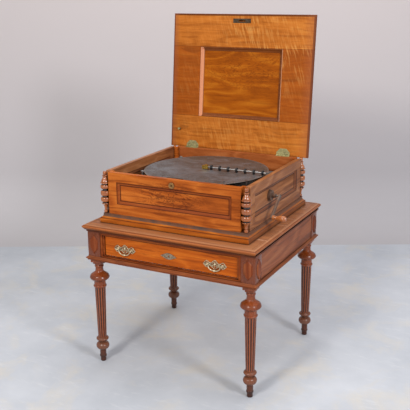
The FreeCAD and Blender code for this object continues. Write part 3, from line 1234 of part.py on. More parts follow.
def make_star_wheels():
    gantry = case_body("star_gantry")
    start = s.star_first - s.star_pitch
    length = s.star_pitch * (s.star_count + 1)
    half = s.gantry_width / 2
    add_box(gantry, "beam", (start, 0 - half, s.bed_top), (start + length, half, s.bed_top + s.gantry_tall))
    for index, x in enumerate((start, start + length - s.gantry_end)):
        add_box(gantry, "cheek_%d" % index, (x, 0 - half, s.bed_top + s.gantry_tall),
                (x + s.gantry_end, half, s.star_height + s.star_axle_radius * 2))
    axle = sketch(gantry, "axle", "YZ_Plane", [("circle", 0.0, s.star_height, s.star_axle_radius)],
                  start + s.gantry_end)
    pad(gantry, axle, length - s.gantry_end * 2)
    stars = case_body("star_wheels")
    corners = []
    for index in range(int(number_of(s.star_points)) * 2):
        radius = s.star_radius if index % 2 == 0 else s.star_root
        angle = 180.0 * index / s.star_points
        corners.append((radius * cosine(angle), radius * sine(angle) + s.star_height))
    drawn = sketch(stars, "star", "YZ_Plane",
                   [corners, ("circle", 0.0, s.star_height, s.star_axle_radius + s.running_gap)],
                   s.star_first - s.star_thick / 2)
    along(stars, pad(stars, drawn, s.star_thick), drawn, s.star_count, s.star_pitch * (s.star_count - 1),
          "N_Axis")


def make_combs():
    body = case_body("combs")
    low = s.star_height - s.comb_thick / 2
    for sign in (-1, 1):
        edges = sorted([comb_tip * sign, comb_back * sign], key=number_of)
        add_box(body, "plate_%d" % (sign + 1), (comb_start, edges[0], low),
                (comb_start + comb_length, edges[1], low + s.comb_thick))
        edges = sorted([(comb_tip - 1.0) * sign, (comb_tip + s.comb_slot_reach) * sign], key=number_of)
        first = comb_start + s.comb_tooth_pitch
        slot = box_loop(first - s.comb_slot / 2, edges[0], first + s.comb_slot / 2, edges[1])
        drawn = sketch(body, "slot_%d" % (sign + 1), "XY_Plane", [slot], low + s.comb_thick)
        along(body, pocket(body, drawn, s.comb_thick), drawn, s.comb_teeth - 1,
              s.comb_tooth_pitch * (s.comb_teeth - 2))


def make_edge_guides():
    """Grooved posts that steady the rim of the disc."""
    body = case_body("edge_guides")
    reach = s.disc_radius + s.guide_groove_radius + s.guide_gap
    angles = (s.guide_angle_rear, s.guide_angle_front, s.guide_angle_right)
    for index, angle in enumerate(angles):
        x = reach * cosine(angle)
        y = reach * sine(angle)
        low = disc_low - s.guide_slack
        high = s.disc_top + s.guide_slack
        radius = s.guide_flange_radius
        top = s.guide_top if index == 2 else high + s.guide_flange + 2.0
        add_drum(body, "stem_%d" % index, x, y, s.bed_top, low - s.guide_flange, s.guide_foot_radius)
        add_drum(body, "lower_%d" % index, x, y, low - s.guide_flange, low, radius)
        add_drum(body, "groove_%d" % index, x, y, low, high, s.guide_groove_radius)
        add_drum(body, "upper_%d" % index, x, y, high, high + s.guide_flange, radius)
        add_drum(body, "tip_%d" % index, x, y, high + s.guide_flange, top, s.guide_groove_radius)


def make_pressure_bar():
    bar = case_body("pressure_bar")
    hub_end = s.hub_width / 2 + s.hub_shift
    drawn = sketch(bar, "rod", "YZ_Plane", [("circle", 0.0, rod_height, s.rod_radius)], hub_end)
    pad(bar, drawn, s.bar_pivot - s.bar_eye_radius + 1.5 - hub_end)
    loops = [("circle", s.bar_pivot, rod_height, s.bar_eye_radius),
             ("circle", s.bar_pivot, rod_height, s.trunnion_radius + s.running_gap)]
    pad(bar, sketch(bar, "eye", "XZ_Plane", loops, 0 - s.bar_eye_width / 2), s.bar_eye_width)
    hub = case_body("bar_hub")
    low = s.disc_top + 2.0
    half = s.hub_depth / 2
    add_box(hub, "block", (hub_end - s.hub_width, 0 - half, low),
            (hub_end, half, rod_height + s.rod_radius * 2))
    drill(hub, "bore", 0.0, 0.0, rod_height, rod_height - low, s.hub_bore)
    add_drum(hub, "knob", 0.0, 0.0, rod_height + s.rod_radius * 2, s.case_height - 1.0, s.hub_knob_radius)
    rollers = case_body("bar_rollers")
    loops = [("circle", 0.0, rod_height, s.roller_radius),
             ("circle", 0.0, rod_height, s.rod_radius + s.running_gap)]
    drawn = sketch(rollers, "roller", "YZ_Plane", loops, s.roller_first - s.roller_width / 2)
    along(rollers, pad(rollers, drawn, s.roller_width), drawn, s.roller_count,
          s.roller_pitch * (s.roller_count - 1), "N_Axis")
    bracket = case_body("bar_bracket")
    inner = s.bar_eye_width / 2 + s.ear_gap
    outer = inner + s.ear_thick
    high = rod_height + s.trunnion_radius * 2
    low = rod_height - s.trunnion_radius * 4
    half = outer + s.bracket_margin
    add_box(bracket, "plate", (inner_x - s.bracket_thick, 0 - half, low - s.bracket_margin),
            (inner_x, half, high))
    for sign in (-1, 1):
        edges = sorted([inner * sign, outer * sign], key=number_of)
        add_box(bracket, "ear_%d" % (sign + 1), (s.bar_pivot - s.trunnion_radius * 2, edges[0], low),
                (inner_x - s.bracket_thick, edges[1], high))
    drawn = sketch(bracket, "trunnion", "XZ_Plane", [("circle", s.bar_pivot, rod_height, s.trunnion_radius)],
                   0 - inner)
    pad(bracket, drawn, inner * 2)


def make_stop_lever():
    """Lever that starts and stops the movement, with an upright finger piece beyond the disc's rim."""
    low = s.bed_top + s.lever_lift
    lever = case_body("stop_lever", s.lever_pivot, s.lever_y)
    half = s.lever_width / 2
    arm = rounded(0 - s.lever_outer * 0.3, 0 - half, s.lever_outer + half, half, half * 0.95)
    loops = [arm, ("circle", 0.0, 0.0, s.lever_pin_radius + s.running_gap)]
    pad(lever, sketch(lever, "arm", "XY_Plane", loops, low), s.lever_thick)
    add_drum(lever, "finger", s.lever_outer, 0.0, low + s.lever_thick, s.lever_knob_top,
             s.lever_knob_radius * 0.6)
    add_drum(lever, "knob", s.lever_outer, 0.0, s.lever_knob_top, s.lever_knob_top + 6.0,
             s.lever_knob_radius)


# Crank


def make_crank():
    boss = case_body("crank_boss")
    seat = case_half_width - s.panel_depth
    bore = s.crank_shaft_radius + s.running_gap
    face = case_half_width + s.boss_thick
    centre = (barrel_y, s.crank_height)
    drawn = sketch(boss, "plate", "YZ_Plane", [("circle", *centre, s.boss_radius),
                                               ("circle", *centre, bore)], seat)
    pad(boss, drawn, face - seat)
    drawn = sketch(boss, "hub", "YZ_Plane", [("circle", *centre, s.boss_hub_radius),
                                             ("circle", *centre, bore)], face)
    pad(boss, drawn, s.boss_hub_length)
    shaft = case_body("crank_shaft", 0.0, barrel_y, s.crank_height)
    inner_end = barrel_x + crown_pitch - s.crown_face / 2
    drawn = sketch(shaft, "rod", "YZ_Plane", [("circle", 0.0, 0.0, s.crank_shaft_radius)], inner_end)
    pad(shaft, drawn, s.crank_arm_place + s.crank_arm_thick - inner_end)
    gear(shaft, "pinion", "YZ_Plane", 0.0, 0.0, inner_end, s.crown_face, s.crown_module, s.crank_teeth,
         -90.0,
         height=0.8)
    arm = case_body("crank_arm", s.crank_arm_place, barrel_y, s.crank_height)
    length = s.crank_arm_length
    end_y = length * cosine(s.crank_angle)
    end_z = length * sine(s.crank_angle)
    big = s.crank_arm_big
    small = s.crank_arm_small
    across = (0 - sine(s.crank_angle), cosine(s.crank_angle))
    bar = [(across[0] * big * 0.8, across[1] * big * 0.8),
           (end_y + across[0] * small * 0.8, end_z + across[1] * small * 0.8),
           (end_y - across[0] * small * 0.8, end_z - across[1] * small * 0.8),
           (0 - across[0] * big * 0.8, 0 - across[1] * big * 0.8)]
    pad(arm, sketch(arm, "bar", "YZ_Plane", [bar]), s.crank_arm_thick)
    pad(arm, sketch(arm, "big_end", "YZ_Plane", [("circle", 0.0, 0.0, big)]), s.crank_arm_thick)
    pad(arm, sketch(arm, "small_end", "YZ_Plane", [("circle", end_y, end_z, small)]), s.crank_arm_thick)
    drawn = sketch(arm, "seat", "YZ_Plane", [("circle", 0.0, 0.0, s.crank_shaft_radius)])
    pocket(arm, drawn, s.crank_arm_thick, True)
    drawn = sketch(arm, "grip_pin", "YZ_Plane", [("circle", end_y, end_z, s.grip_pin_radius)],
                   s.crank_arm_thick)
    pad(arm, drawn, s.grip_length * 0.8)
    grip = case_body("crank_grip", s.crank_arm_place + s.crank_arm_thick + s.grip_gap, barrel_y + end_y,
                     s.crank_height + end_z)
    cuff = s.grip_cuff_radius
    neck = s.grip_neck_radius
    bulb = s.grip_bulb_radius
    long = s.grip_length
    profile = [(0.0, 0.0), (long, 0.0), (long, bulb * 0.55, 1.8), (long * 0.72, bulb, 0.8),
               (long * 0.3, neck, 0.4),
               (long * 0.2, neck), (long * 0.2, cuff), (0.0, cuff)]
    turn(grip, sketch(grip, "profile", "XZ_Plane", [profile]), "H_Axis")
    drawn = sketch(grip, "bore", "YZ_Plane", [("circle", 0.0, 0.0, s.grip_pin_radius + s.running_gap)])
    pocket(grip, drawn, s.grip_length * 0.8 + 1.0, True)


def main():
    make_table_top()
    for label, side, end in (("leg_front_left", -1, -1), ("leg_front_right", 1, -1),
                             ("leg_rear_left", -1, 1),
                             ("leg_rear_right", 1, 1)):
        make_leg(label, side, end)
    make_block_panels()
    make_frieze_boards()
    make_drawer_rails()
    make_drawer_surround()
    make_table_mouldings()
    make_drawer()
    make_pulls()
    make_drawer_lock()
    make_case_walls()
    make_case_base()
    make_corner_columns()
    make_case_lock()
    make_lid()
    make_hinges()
    make_bedplate()
    make_bed_posts()
    make_motor_plate()
    make_turntable()
    make_spring_motor()
    make_governor()
    make_star_wheels()
    make_combs()
    make_edge_guides()
    make_pressure_bar()
    make_stop_lever()
    make_crank()
    doc.recompute()
    os.makedirs("parts", exist_ok=True)
    troubles = []
    count = 0
    for thing in doc.Objects:
        if "Invalid" in thing.State or "Error" in thing.State:
            troubles.append("%s: %s" % (thing.Name, thing.State))
        if thing.TypeId != "PartDesign::Body":
            continue
        shape = thing.Shape
        if shape.isNull() or not shape.isValid():
            troubles.append(thing.Label + ": bad shape")
            continue
        count += 1
        shape.exportStep("parts/%s.step" % thing.Label)
    print("%d sub-parts written" % count)
    if troubles:
        raise SystemExit("\n".join(troubles))


main()
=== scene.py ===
import json
import math
import random

import bmesh
import bpy
from mathutils import Matrix, Vector


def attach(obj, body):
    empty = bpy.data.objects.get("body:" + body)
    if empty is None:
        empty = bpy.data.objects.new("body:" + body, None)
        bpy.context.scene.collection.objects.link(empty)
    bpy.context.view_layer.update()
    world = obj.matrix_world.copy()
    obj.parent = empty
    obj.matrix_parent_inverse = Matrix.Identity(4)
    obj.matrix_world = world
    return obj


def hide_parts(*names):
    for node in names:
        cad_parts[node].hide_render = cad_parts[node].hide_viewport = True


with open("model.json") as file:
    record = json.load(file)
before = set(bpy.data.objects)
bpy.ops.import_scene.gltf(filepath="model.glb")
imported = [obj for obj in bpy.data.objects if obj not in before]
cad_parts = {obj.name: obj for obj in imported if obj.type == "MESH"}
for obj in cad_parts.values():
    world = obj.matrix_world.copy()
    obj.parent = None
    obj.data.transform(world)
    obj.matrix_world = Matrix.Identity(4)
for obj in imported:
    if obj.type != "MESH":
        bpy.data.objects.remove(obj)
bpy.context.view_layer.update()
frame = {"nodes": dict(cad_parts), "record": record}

SHIFT = -0.01525                 # the disc's centre in X
MM = 0.001
TABLE_TOP = 0.648
LEG_AT = (0.358, 0.324)          # the legs' axles, from the middle in X and Y
COLUMN_AT = (0.325, 0.301)       # the corner columns' axles, likewise
FLUTES = 12                      # on each leg
SHAFT_LOW, SHAFT_HIGH = 118.0, 356.0    # the fluted part of a leg, in millimetres
PANEL_LOW, PANEL_HIGH = 0.735, 0.828    # the sunk panels of the case
DRAWER_Y = -0.343                # the drawer's front face
BAIL_Y = -0.350
PULL_X, PULL_Z = 0.210, 0.551    # the drawer pulls, from the middle and from the ground
PINS = Vector((SHIFT, 0.3116, 0.868))
LID_ANGLE = math.radians(95.25)
LID_SIDE, LID_END = 0.3435, 0.6125      # the lid's outer edges, from the middle and from the pins
LID_JOINTS = (0.150, 0.473)      # where rails and stiles meet, from the pins
HINGE_X = 0.233                  # the hinges, from the middle
STRIKE_ALONG = 0.5931            # the strike plate, from the pins
DISC_Z = 0.846
ROLLER_Z = 0.8566
CAMERA_YAW, CAMERA_PITCH, CAMERA_ROLL = (math.radians(v) for v in (27.0988, 15.8955, -0.3605))
CAMERA_AT = (1.46318 + SHIFT, -2.87408, 1.60248)
FOCAL, PHOTO_SIDE = 761.19, 410  # in pixels
SENSOR = 36.0
STAGE_HALF = 8.0
WALL_AT, WALL_BEND, WALL_TOP = 1.45, 0.4, 6.0
SLOTS = {part["node"]: part["material_slot"] for part in frame["record"]["subparts"]}
BODIES = {node: body for body, members in frame["record"]["behaviour"]["bodies"].items() for node in members}


# Node trees


def tone(text):
    """A colour written as on a paint chart, turned into the linear values that shaders take."""
    parts = [int(text[i:i + 2], 16) / 255 for i in (1, 3, 5)]
    return tuple(v / 12.92 if v <= 0.04045 else ((v + 0.055) / 1.055) ** 2.4 for v in parts) + (1.0,)


class Tree:
    """A material whose nodes are added by short calls that give back the socket others take."""

    def __init__(self, name):
        self.material = bpy.data.materials.new(name)
        self.material.use_nodes = True
        self.shader = self.material.node_tree.nodes["Principled BSDF"]
        self.place = self.node("TexCoord").outputs["Object"]

    def node(self, kind, inputs=None, **settings):
        made = self.material.node_tree.nodes.new("ShaderNode" + kind)
        for key, value in settings.items():
            setattr(made, key, value)
        for key, value in (inputs or {}).items():
            self.feed(made.inputs[key], value)
        return made

    def feed(self, socket, value):
        if isinstance(value, bpy.types.NodeSocket):
            self.material.node_tree.links.new(value, socket)
        else:
            socket.default_value = value

    def math(self, operation, *values, clamp=False):
        return self.node("Math", dict(enumerate(values)), operation=operation, use_clamp=clamp).outputs[0]

    def vector(self, operation, *values):
        made = self.node("VectorMath", dict(enumerate(values)), operation=operation)
        return made.outputs["Value" if operation in ("DOT_PRODUCT", "LENGTH", "DISTANCE") else "Vector"]

    def split(self, vector):
        return self.node("SeparateXYZ", {0: vector}).outputs

    def join(self, x, y, z):
        return self.node("CombineXYZ", {0: x, 1: y, 2: z}).outputs[0]

    def mix(self, share, first, second, blend="MIX"):
        made = self.node("Mix", {0: share, 6: first, 7: second}, data_type="RGBA", blend_type=blend)
        return made.outputs[2]

    def remap(self, value, low, high, out_low=0.0, out_high=1.0):
        made = self.node("MapRange", {0: value, 1: low, 2: high, 3: out_low, 4: out_high})
        return made.outputs[0]

    def noise(self, vector, scale, detail=2.0, rough=0.5, twist=0.0):
        made = self.node("TexNoise", {"Vector": vector, "Scale": scale, "Detail": detail, "Roughness": rough,
                                      "Distortion": twist})
        return made.outputs["Fac"]

    def ramp(self, share, stops):
        made = self.node("ValToRGB", {0: share})
        bar = made.color_ramp.elements
        while len(bar) < len(stops):
            bar.new(0.5)
        for element, (place, colour) in zip(bar, stops):
            element.position = place
            element.color = tone(colour)
        return made.outputs[0]

    def off_centre(self, x):
        """How far a place lies right of the disc's centre."""
        return self.math("SUBTRACT", x, SHIFT)

    def past(self, value, half):
        """How far a value lies beyond plus or minus half."""
        return self.math("SUBTRACT", self.math("ABSOLUTE", value), half)

    def crevice(self, reach):
        """Runs from 0 deep in a corner to 1 in the open."""
        made = self.node("AmbientOcclusion", {"Distance": reach}, samples=6)
        return made.outputs["AO"]

    def finish(self, colour, rough, bump=None, depth=0.3, **constants):
        self.feed(self.shader.inputs["Base Color"], colour)
        self.feed(self.shader.inputs["Roughness"], rough)
        for key, value in constants.items():
            self.shader.inputs[key.replace("_", " ")].default_value = value
        if bump is not None:
            made = self.node("Bump", {"Height": bump, "Strength": depth, "Distance": 0.0006})
            self.feed(self.shader.inputs["Normal"], made.outputs[0])
        return self.material


# Materials


AXES = {"X": (1.0, 8.0, 8.0), "Y": (8.0, 1.0, 8.0), "Z": (8.0, 8.0, 1.0)}


def wood(name, tones, grain="X", seed=0.0, figure=1.0, gloss=0.42, shine=0.15, coat=0.0, grime_and_shade_depth=0.6,
         reach=0.014, mitre=None, boards=False, extras=()):
    """Varnished wood: growth rings and fine lines along the grain, pores, and grime and painted shade in
    corners.
    """
    tree = Tree(name)
    place = tree.place
    if mitre:
        x, y, z = tree.split(place)
        side = tree.math("GREATER_THAN", tree.past(tree.off_centre(x), mitre[0]), tree.past(y, mitre[1]))
        place = tree.mix(side, place, tree.join(y, x, z))
    if boards:
        place, joint, stile = lid_boards(tree, place)
    bend = tree.noise(place, 3.1, 1.0)
    stretched = tree.node("Mapping", {0: place, 1: (seed, seed * 1.7, seed * 0.6), 3: AXES[grain]}).outputs[0]
    warped = tree.vector("ADD", stretched, tree.join(0.0, tree.math("MULTIPLY", bend, 0.9), 0.0))
    field = tree.noise(warped, 1.25, 2.0, 0.45, 0.35)
    rings = tree.math("POWER", tree.math("PINGPONG", tree.math("MULTIPLY", field, 17.0), 1.0), 1.5)
    drawn_out = tuple(v * (2.4 if v > 1.0 else 0.7) for v in AXES[grain])
    lines = tree.noise(tree.vector("MULTIPLY", warped, tuple(v / w for v, w in zip(drawn_out, AXES[grain]))),
                       5.0, 4.0, 0.66)
    fine = tree.noise(tree.vector("MULTIPLY", stretched, (3.0, 3.0, 3.0)), 14.0, 4.0, 0.62)
    broad = tree.noise(stretched, 0.9, 2.0)
    total = tree.math("ADD", tree.math("MULTIPLY", rings, 0.24 * figure), tree.math("MULTIPLY", fine, 0.26))
    total = tree.math("ADD", total, tree.math("MULTIPLY", lines, 0.42))
    total = tree.math("ADD", total, tree.math("MULTIPLY", broad, 0.42))
    dark, middle, light = tones
    colour = tree.ramp(tree.remap(total, 0.34, 0.98), [(0.0, dark), (0.48, middle), (1.0, light)])
    dots = tree.noise(tree.vector("MULTIPLY", stretched, (4.0, 9.0, 9.0)), 20.0, 2.0, 0.7)
    pores = tree.remap(dots, 0.56, 0.7)
    colour = tree.mix(tree.math("MULTIPLY", pores, 0.4), colour, tone(dark))
    if boards:
        colour = tree.mix(tree.math("MULTIPLY", stile, 0.9), colour, tone("#d6b98c"), "MULTIPLY")
        colour = tree.mix(tree.math("MULTIPLY", joint, 0.6), colour, tone("#4e2410"))
    for extra in extras:
        colour = extra(tree, colour)
    # Grime and painted shade: an ambient occlusion node darkens corners and crevices toward near black.
    open_share = tree.remap(tree.crevice(reach), 0.35, 0.85)
    grime_and_shade = tree.math("MULTIPLY", tree.math("SUBTRACT", 1.0, open_share), grime_and_shade_depth)
    colour = tree.mix(grime_and_shade, colour, tone("#1d0f08"))
    rough = tree.remap(fine, 0.3, 0.7, gloss - 0.06, gloss + 0.14)
    return tree.finish(colour, rough, fine, 0.25, Coat_Weight=coat, Coat_Roughness=0.15,
                       Specular_IOR_Level=shine)


def lid_boards(tree, place):
    """Gives each rail and stile of the open lid its own stretch of wood, and marks their joints."""
    x, y, z = tree.split(place)
    along = tree.math("SUBTRACT", z, PINS.z)
    joint = shift = 0.0
    for edge, step in zip(LID_JOINTS, (1.9, 3.1)):
        shift = tree.math("ADD", shift, tree.math("MULTIPLY", tree.math("GREATER_THAN", along, edge), step))
        line = tree.math("LESS_THAN", tree.math("ABSOLUTE", tree.math("SUBTRACT", along, edge)), 0.0013)
        joint = tree.math("MAXIMUM", joint, line)
    right = tree.math("GREATER_THAN", x, SHIFT)
    half_way, half = sum(LID_JOINTS) / 2, (LID_JOINTS[1] - LID_JOINTS[0]) / 2
    middle = tree.math("LESS_THAN", tree.math("ABSOLUTE", tree.math("SUBTRACT", along, half_way)), half)
    shift = tree.math("ADD", shift, tree.math("MULTIPLY", tree.math("MULTIPLY", right, middle), 4.3))
    return tree.join(x, tree.math("ADD", y, shift), z), joint, middle


# Marks on wood: functions that take a tree and its colour so far, and give the colour after


def between(tree, value, low, high, soft=0.0006):
    """1 where a value lies between two bounds, with soft ends."""
    risen, fallen = tree.remap(value, low - soft, low + soft), tree.remap(value, high + soft, high - soft)
    return tree.math("MULTIPLY", risen, fallen)


def bands(*rows):
    """Zones of height in metres, each with a tone and how strongly it covers the wood."""
    def mark(tree, colour):
        height = tree.split(tree.place)[2]
        patchy = tree.remap(tree.noise(tree.place, 22.0, 3.0), 0.3, 0.7, 0.72, 1.0)
        for low, high, shade, strength in rows:
            inside = between(tree, height, low, high)
            share = tree.math("MULTIPLY", inside, tree.math("MULTIPLY", patchy, strength))
            colour = tree.mix(share, colour, tone(shade))
        return colour
    return mark


def sunk_border(across, half, low, high, slope, shade, line):
    """The sloping border of a sunk panel in its own tone, with a painted shade line along both of its edges.
    """
    def mark(tree, colour):
        x, y, z = tree.split(tree.place)
        past_side = tree.past(tree.off_centre(x) if across == "X" else y, half)
        past_end = tree.past(tree.math("SUBTRACT", z, (low + high) / 2), (high - low) / 2)
        out = tree.math("MAXIMUM", past_side, past_end)
        colour = tree.mix(tree.math("MULTIPLY", between(tree, out, -slope, 0.0006), 0.6), colour, tone(shade))
        # painted shade lines at the border's outer and inner edges
        for place, width in ((-0.0006, 0.0016), (-slope, 0.0022)):
            drawn = between(tree, out, place - width, place + width)
            colour = tree.mix(tree.math("MULTIPLY", drawn, 0.85), colour, tone(line))
        return colour
    return mark


def ripple(light, strength, centre, reach):
    """Fiddleback: narrow bright and dark bars across boards that run along X, strongest round a centre."""
    def mark(tree, colour):
        x, y, z = tree.split(tree.place)
        leaning = tree.join(tree.math("ADD", x, tree.math("MULTIPLY", z, 0.3)), y, z)
        bars = tree.noise(tree.vector("MULTIPLY", leaning, (125.0, 8.0, 16.0)), 1.0, 1.5, 0.5)
        near = tree.remap(tree.vector("DISTANCE", tree.place, centre), reach, reach * 0.35, 0.12, 1.0)
        cloud = tree.noise(tree.vector("MULTIPLY", tree.place, (1.0, 1.0, 3.0)), 7.0, 2.0)
        patchy = tree.remap(cloud, 0.4, 0.62, 0.3)
        share = tree.math("MULTIPLY", tree.math("MULTIPLY", near, patchy), strength)
        colour = tree.mix(tree.math("MULTIPLY", tree.remap(bars, 0.5, 0.62), share), colour, tone(light))
        return tree.mix(tree.math("MULTIPLY", tree.remap(bars, 0.48, 0.36), share), colour, tone("#7d4013"))
    return mark


def streaks(along, shade, strength, fineness=70.0, low=0.52, high=0.62):
    """Long thin dark lines that follow the grain."""
    def mark(tree, colour):
        thin = tuple(2.5 if axis == along else fineness for axis in "XYZ")
        bend = tree.math("MULTIPLY", tree.noise(tree.place, 4.0, 1.0), 2.2)
        place = tree.vector("ADD", tree.vector("MULTIPLY", tree.place, thin), tree.join(bend, bend, bend))
        drawn = tree.remap(tree.noise(place, 1.0, 3.0, 0.6), low, high)
        return tree.mix(tree.math("MULTIPLY", drawn, strength), colour, tone(shade))
    return mark


def painted_right_side_shade(shade, strength):
    """Painted shade: a duller, darker tone on what faces the right side of the part, where less light falls.
    """
    def mark(tree, colour):
        toward = tree.split(tree.node("TexCoord").outputs["Normal"])[0]
        return tree.mix(tree.remap(toward, 0.3, 0.8, 0.0, strength), colour, tone(shade))
    return mark


def painted_flute_shading(axles, low, high):
    """Painted shade in the channels and painted highlights on the ridges that follow the flutes of each leg.
    """
    def mark(tree, colour):
        x, y, z = tree.split(tree.place)
        off_x, off_y = tree.past(tree.off_centre(x), axles[0]), tree.past(y, axles[1])
        angle = tree.math("ARCTAN2", off_y, off_x)
        wave = tree.math("ABSOLUTE", tree.math("COSINE", tree.math("MULTIPLY", angle, FLUTES / 2)))
        inside = between(tree, z, low, high, 0.002)
        # painted shade down each flute
        colour = tree.mix(tree.math("MULTIPLY", tree.remap(wave, 0.4, 0.85, 0.0, 0.9), inside), colour,
                          tone("#2b0f07"))
        # painted highlight along each ridge between flutes
        return tree.mix(tree.math("MULTIPLY", tree.remap(wave, 0.4, 0.1, 0.0, 0.6), inside), colour,
                        tone("#b5673a"))
    return mark


def burr(centre, size, shade):
    """Knotty dark figure round a centre."""
    def mark(tree, colour):
        flat = tree.vector("MULTIPLY", tree.place, (1.0, 0.0, 2.6))
        away = tree.vector("DISTANCE", flat, (centre[0], 0.0, centre[1] * 2.6))
        near = tree.remap(away, size, size * 0.3)
        knots = tree.noise(tree.vector("MULTIPLY", tree.place, (1.0, 1.0, 2.8)), 12.0, 5.0, 0.62, 1.8)
        veins = tree.math("PINGPONG", tree.math("MULTIPLY", knots, 6.0), 0.5)
        share = tree.math("MULTIPLY", near, tree.remap(veins, 0.24, 0.04, 0.0, 0.9))
        return tree.mix(share, colour, tone(shade))
    return mark


def dusty(strength, shade="#84644f"):
    """Dust that lies on what faces up."""
    def mark(tree, colour):
        up = tree.split(tree.node("TexCoord").outputs["Normal"])[2]
        spread = tree.remap(tree.noise(tree.place, 9.0, 4.0, 0.6), 0.3, 0.7, 0.35, 1.0)
        lying = tree.math("MULTIPLY", tree.remap(up, 0.25, 0.95), tree.math("MULTIPLY", spread, strength))
        return tree.mix(lying, colour, tone(shade))
    return mark


def painted_shade_near_axles(axles, radius, low, high, shade, strength=0.95):
    """Painted shade: darkens what lies close to the axles of four turned pieces, at places left, right, front
    and back.
    """
    def mark(tree, colour):
        x, y, z = tree.split(tree.place)
        off_x, off_y = tree.past(tree.off_centre(x), axles[0]), tree.past(y, axles[1])
        from_axle = tree.vector("LENGTH", tree.join(off_x, off_y, 0.0))
        near = tree.remap(from_axle, radius + 0.001, radius - 0.001)
        inside = tree.math("MULTIPLY", near, between(tree, z, low, high))
        return tree.mix(tree.math("MULTIPLY", inside, strength), colour, tone(shade))
    return mark


def lid_rim(tree, colour):
    """The lid's outer edges in a dark tone, with a reddish band along its left and right edges."""
    x, _, z = tree.split(tree.place)
    past = tree.math("MAXIMUM", tree.past(tree.off_centre(x), LID_SIDE),
                     tree.math("SUBTRACT", z, PINS.z + LID_END))
    colour = tree.mix(tree.remap(past, -0.001, 0.001, 0.0, 0.85), colour, tone("#4f2411"))
    right = tree.remap(tree.off_centre(x), 0.300, 0.335, 0.0, 0.35)
    left = tree.remap(tree.math("SUBTRACT", SHIFT, x), 0.318, 0.338, 0.0, 0.4)
    return tree.mix(tree.math("MAXIMUM", left, right), colour, tone("#8f5236"))


def bead_painted_highlights(tree, colour):
    """The lid's inner bead: painted highlights on its upright sides, left in its darker tone above and below.
    """
    off = tree.off_centre(tree.split(tree.place)[0])
    left = tree.remap(off, -0.189, -0.193)
    right = tree.remap(off, 0.2015, 0.2035)
    # painted highlights on the left and right sides of the bead
    colour = tree.mix(left, colour, tone("#cf8a64"))
    return tree.mix(right, colour, tone("#c98f6c"))


def metal(name, colour, stain, rough, amount=0.6, metallic=1.0, scale=60.0, wear=0.0, grime_and_shade_depth=0.6):
    """Metal with a patchy stain, grime and painted shade in corners, and fine scratches."""
    tree = Tree(name)
    patches = tree.remap(tree.noise(tree.place, scale, 5.0, 0.65, 0.4), 0.42, 0.66)
    shade = tree.mix(tree.math("MULTIPLY", patches, amount), tone(colour), tone(stain))
    scratch = tree.noise(tree.vector("MULTIPLY", tree.place, (1.0, 6.0, 6.0)), scale * 9.0, 3.0, 0.7)
    if wear:
        shade = tree.mix(tree.remap(scratch, 0.6, 0.72, 0.0, wear), shade, tone("#d8cfc0"))
    # Grime and painted shade: an ambient occlusion node darkens corners and crevices.
    grime_and_shade = tree.math("MULTIPLY", tree.math("SUBTRACT", 1.0, tree.remap(tree.crevice(0.006), 0.3, 0.9)), grime_and_shade_depth)
    shade = tree.mix(grime_and_shade, shade, tone("#17110d"))
    blur = tree.math("ADD", tree.remap(scratch, 0.3, 0.7, rough - 0.05, rough + 0.1),
                     tree.math("MULTIPLY", patches, 0.12))
    return tree.finish(shade, blur, scratch, 0.12, Metallic=metallic)


def disc_steel():
    """Dark tinned sheet, blue grey, with brown stains, rubbed arcs and pale scuffs."""
    tree = Tree("disc_steel_stained")
    y = tree.split(tree.place)[1]
    flat = tree.vector("MULTIPLY", tree.place, (1.0, 1.0, 0.0))
    from_middle = tree.vector("DISTANCE", flat, (SHIFT, 0.0, 0.0))
    cloud = tree.remap(tree.noise(tree.place, 7.0, 5.0, 0.62, 0.8), 0.36, 0.68)
    colour = tree.ramp(cloud, [(0.0, "#453a33"), (0.45, "#585250"), (1.0, "#6b6d70")])
    rear = tree.math("MULTIPLY", tree.remap(y, -0.05, 0.2, 0.1, 0.75), tree.remap(cloud, 1.0, 0.0, 0.3, 1.0))
    colour = tree.mix(rear, colour, tone("#5e4a3a"))
    arcs = tree.noise(tree.join(tree.math("MULTIPLY", from_middle, 90.0), 0.0, 0.0), 1.0, 3.0, 0.7)
    colour = tree.mix(tree.remap(arcs, 0.5, 0.72, 0.0, 0.35), colour, tone("#37302d"))
    streak = tree.noise(tree.vector("MULTIPLY", tree.place, (16.0, 60.0, 1.0)), 1.0, 4.0, 0.6, 0.5)
    colour = tree.mix(tree.remap(streak, 0.52, 0.7, 0.0, 0.5), colour, tone("#80838a"))
    rust = tree.remap(tree.noise(tree.place, 19.0, 6.0, 0.7), 0.56, 0.68, 0.0, 0.6)
    colour = tree.mix(rust, colour, tone("#55361f"))
    rim = tree.remap(from_middle, 0.262, 0.27, 0.0, 0.4)
    colour = tree.mix(rim, colour, tone("#8b8176"))
    rough = tree.remap(cloud, 0.0, 1.0, 0.6, 0.42)
    return tree.finish(colour, rough, streak, 0.2, Metallic=0.35)


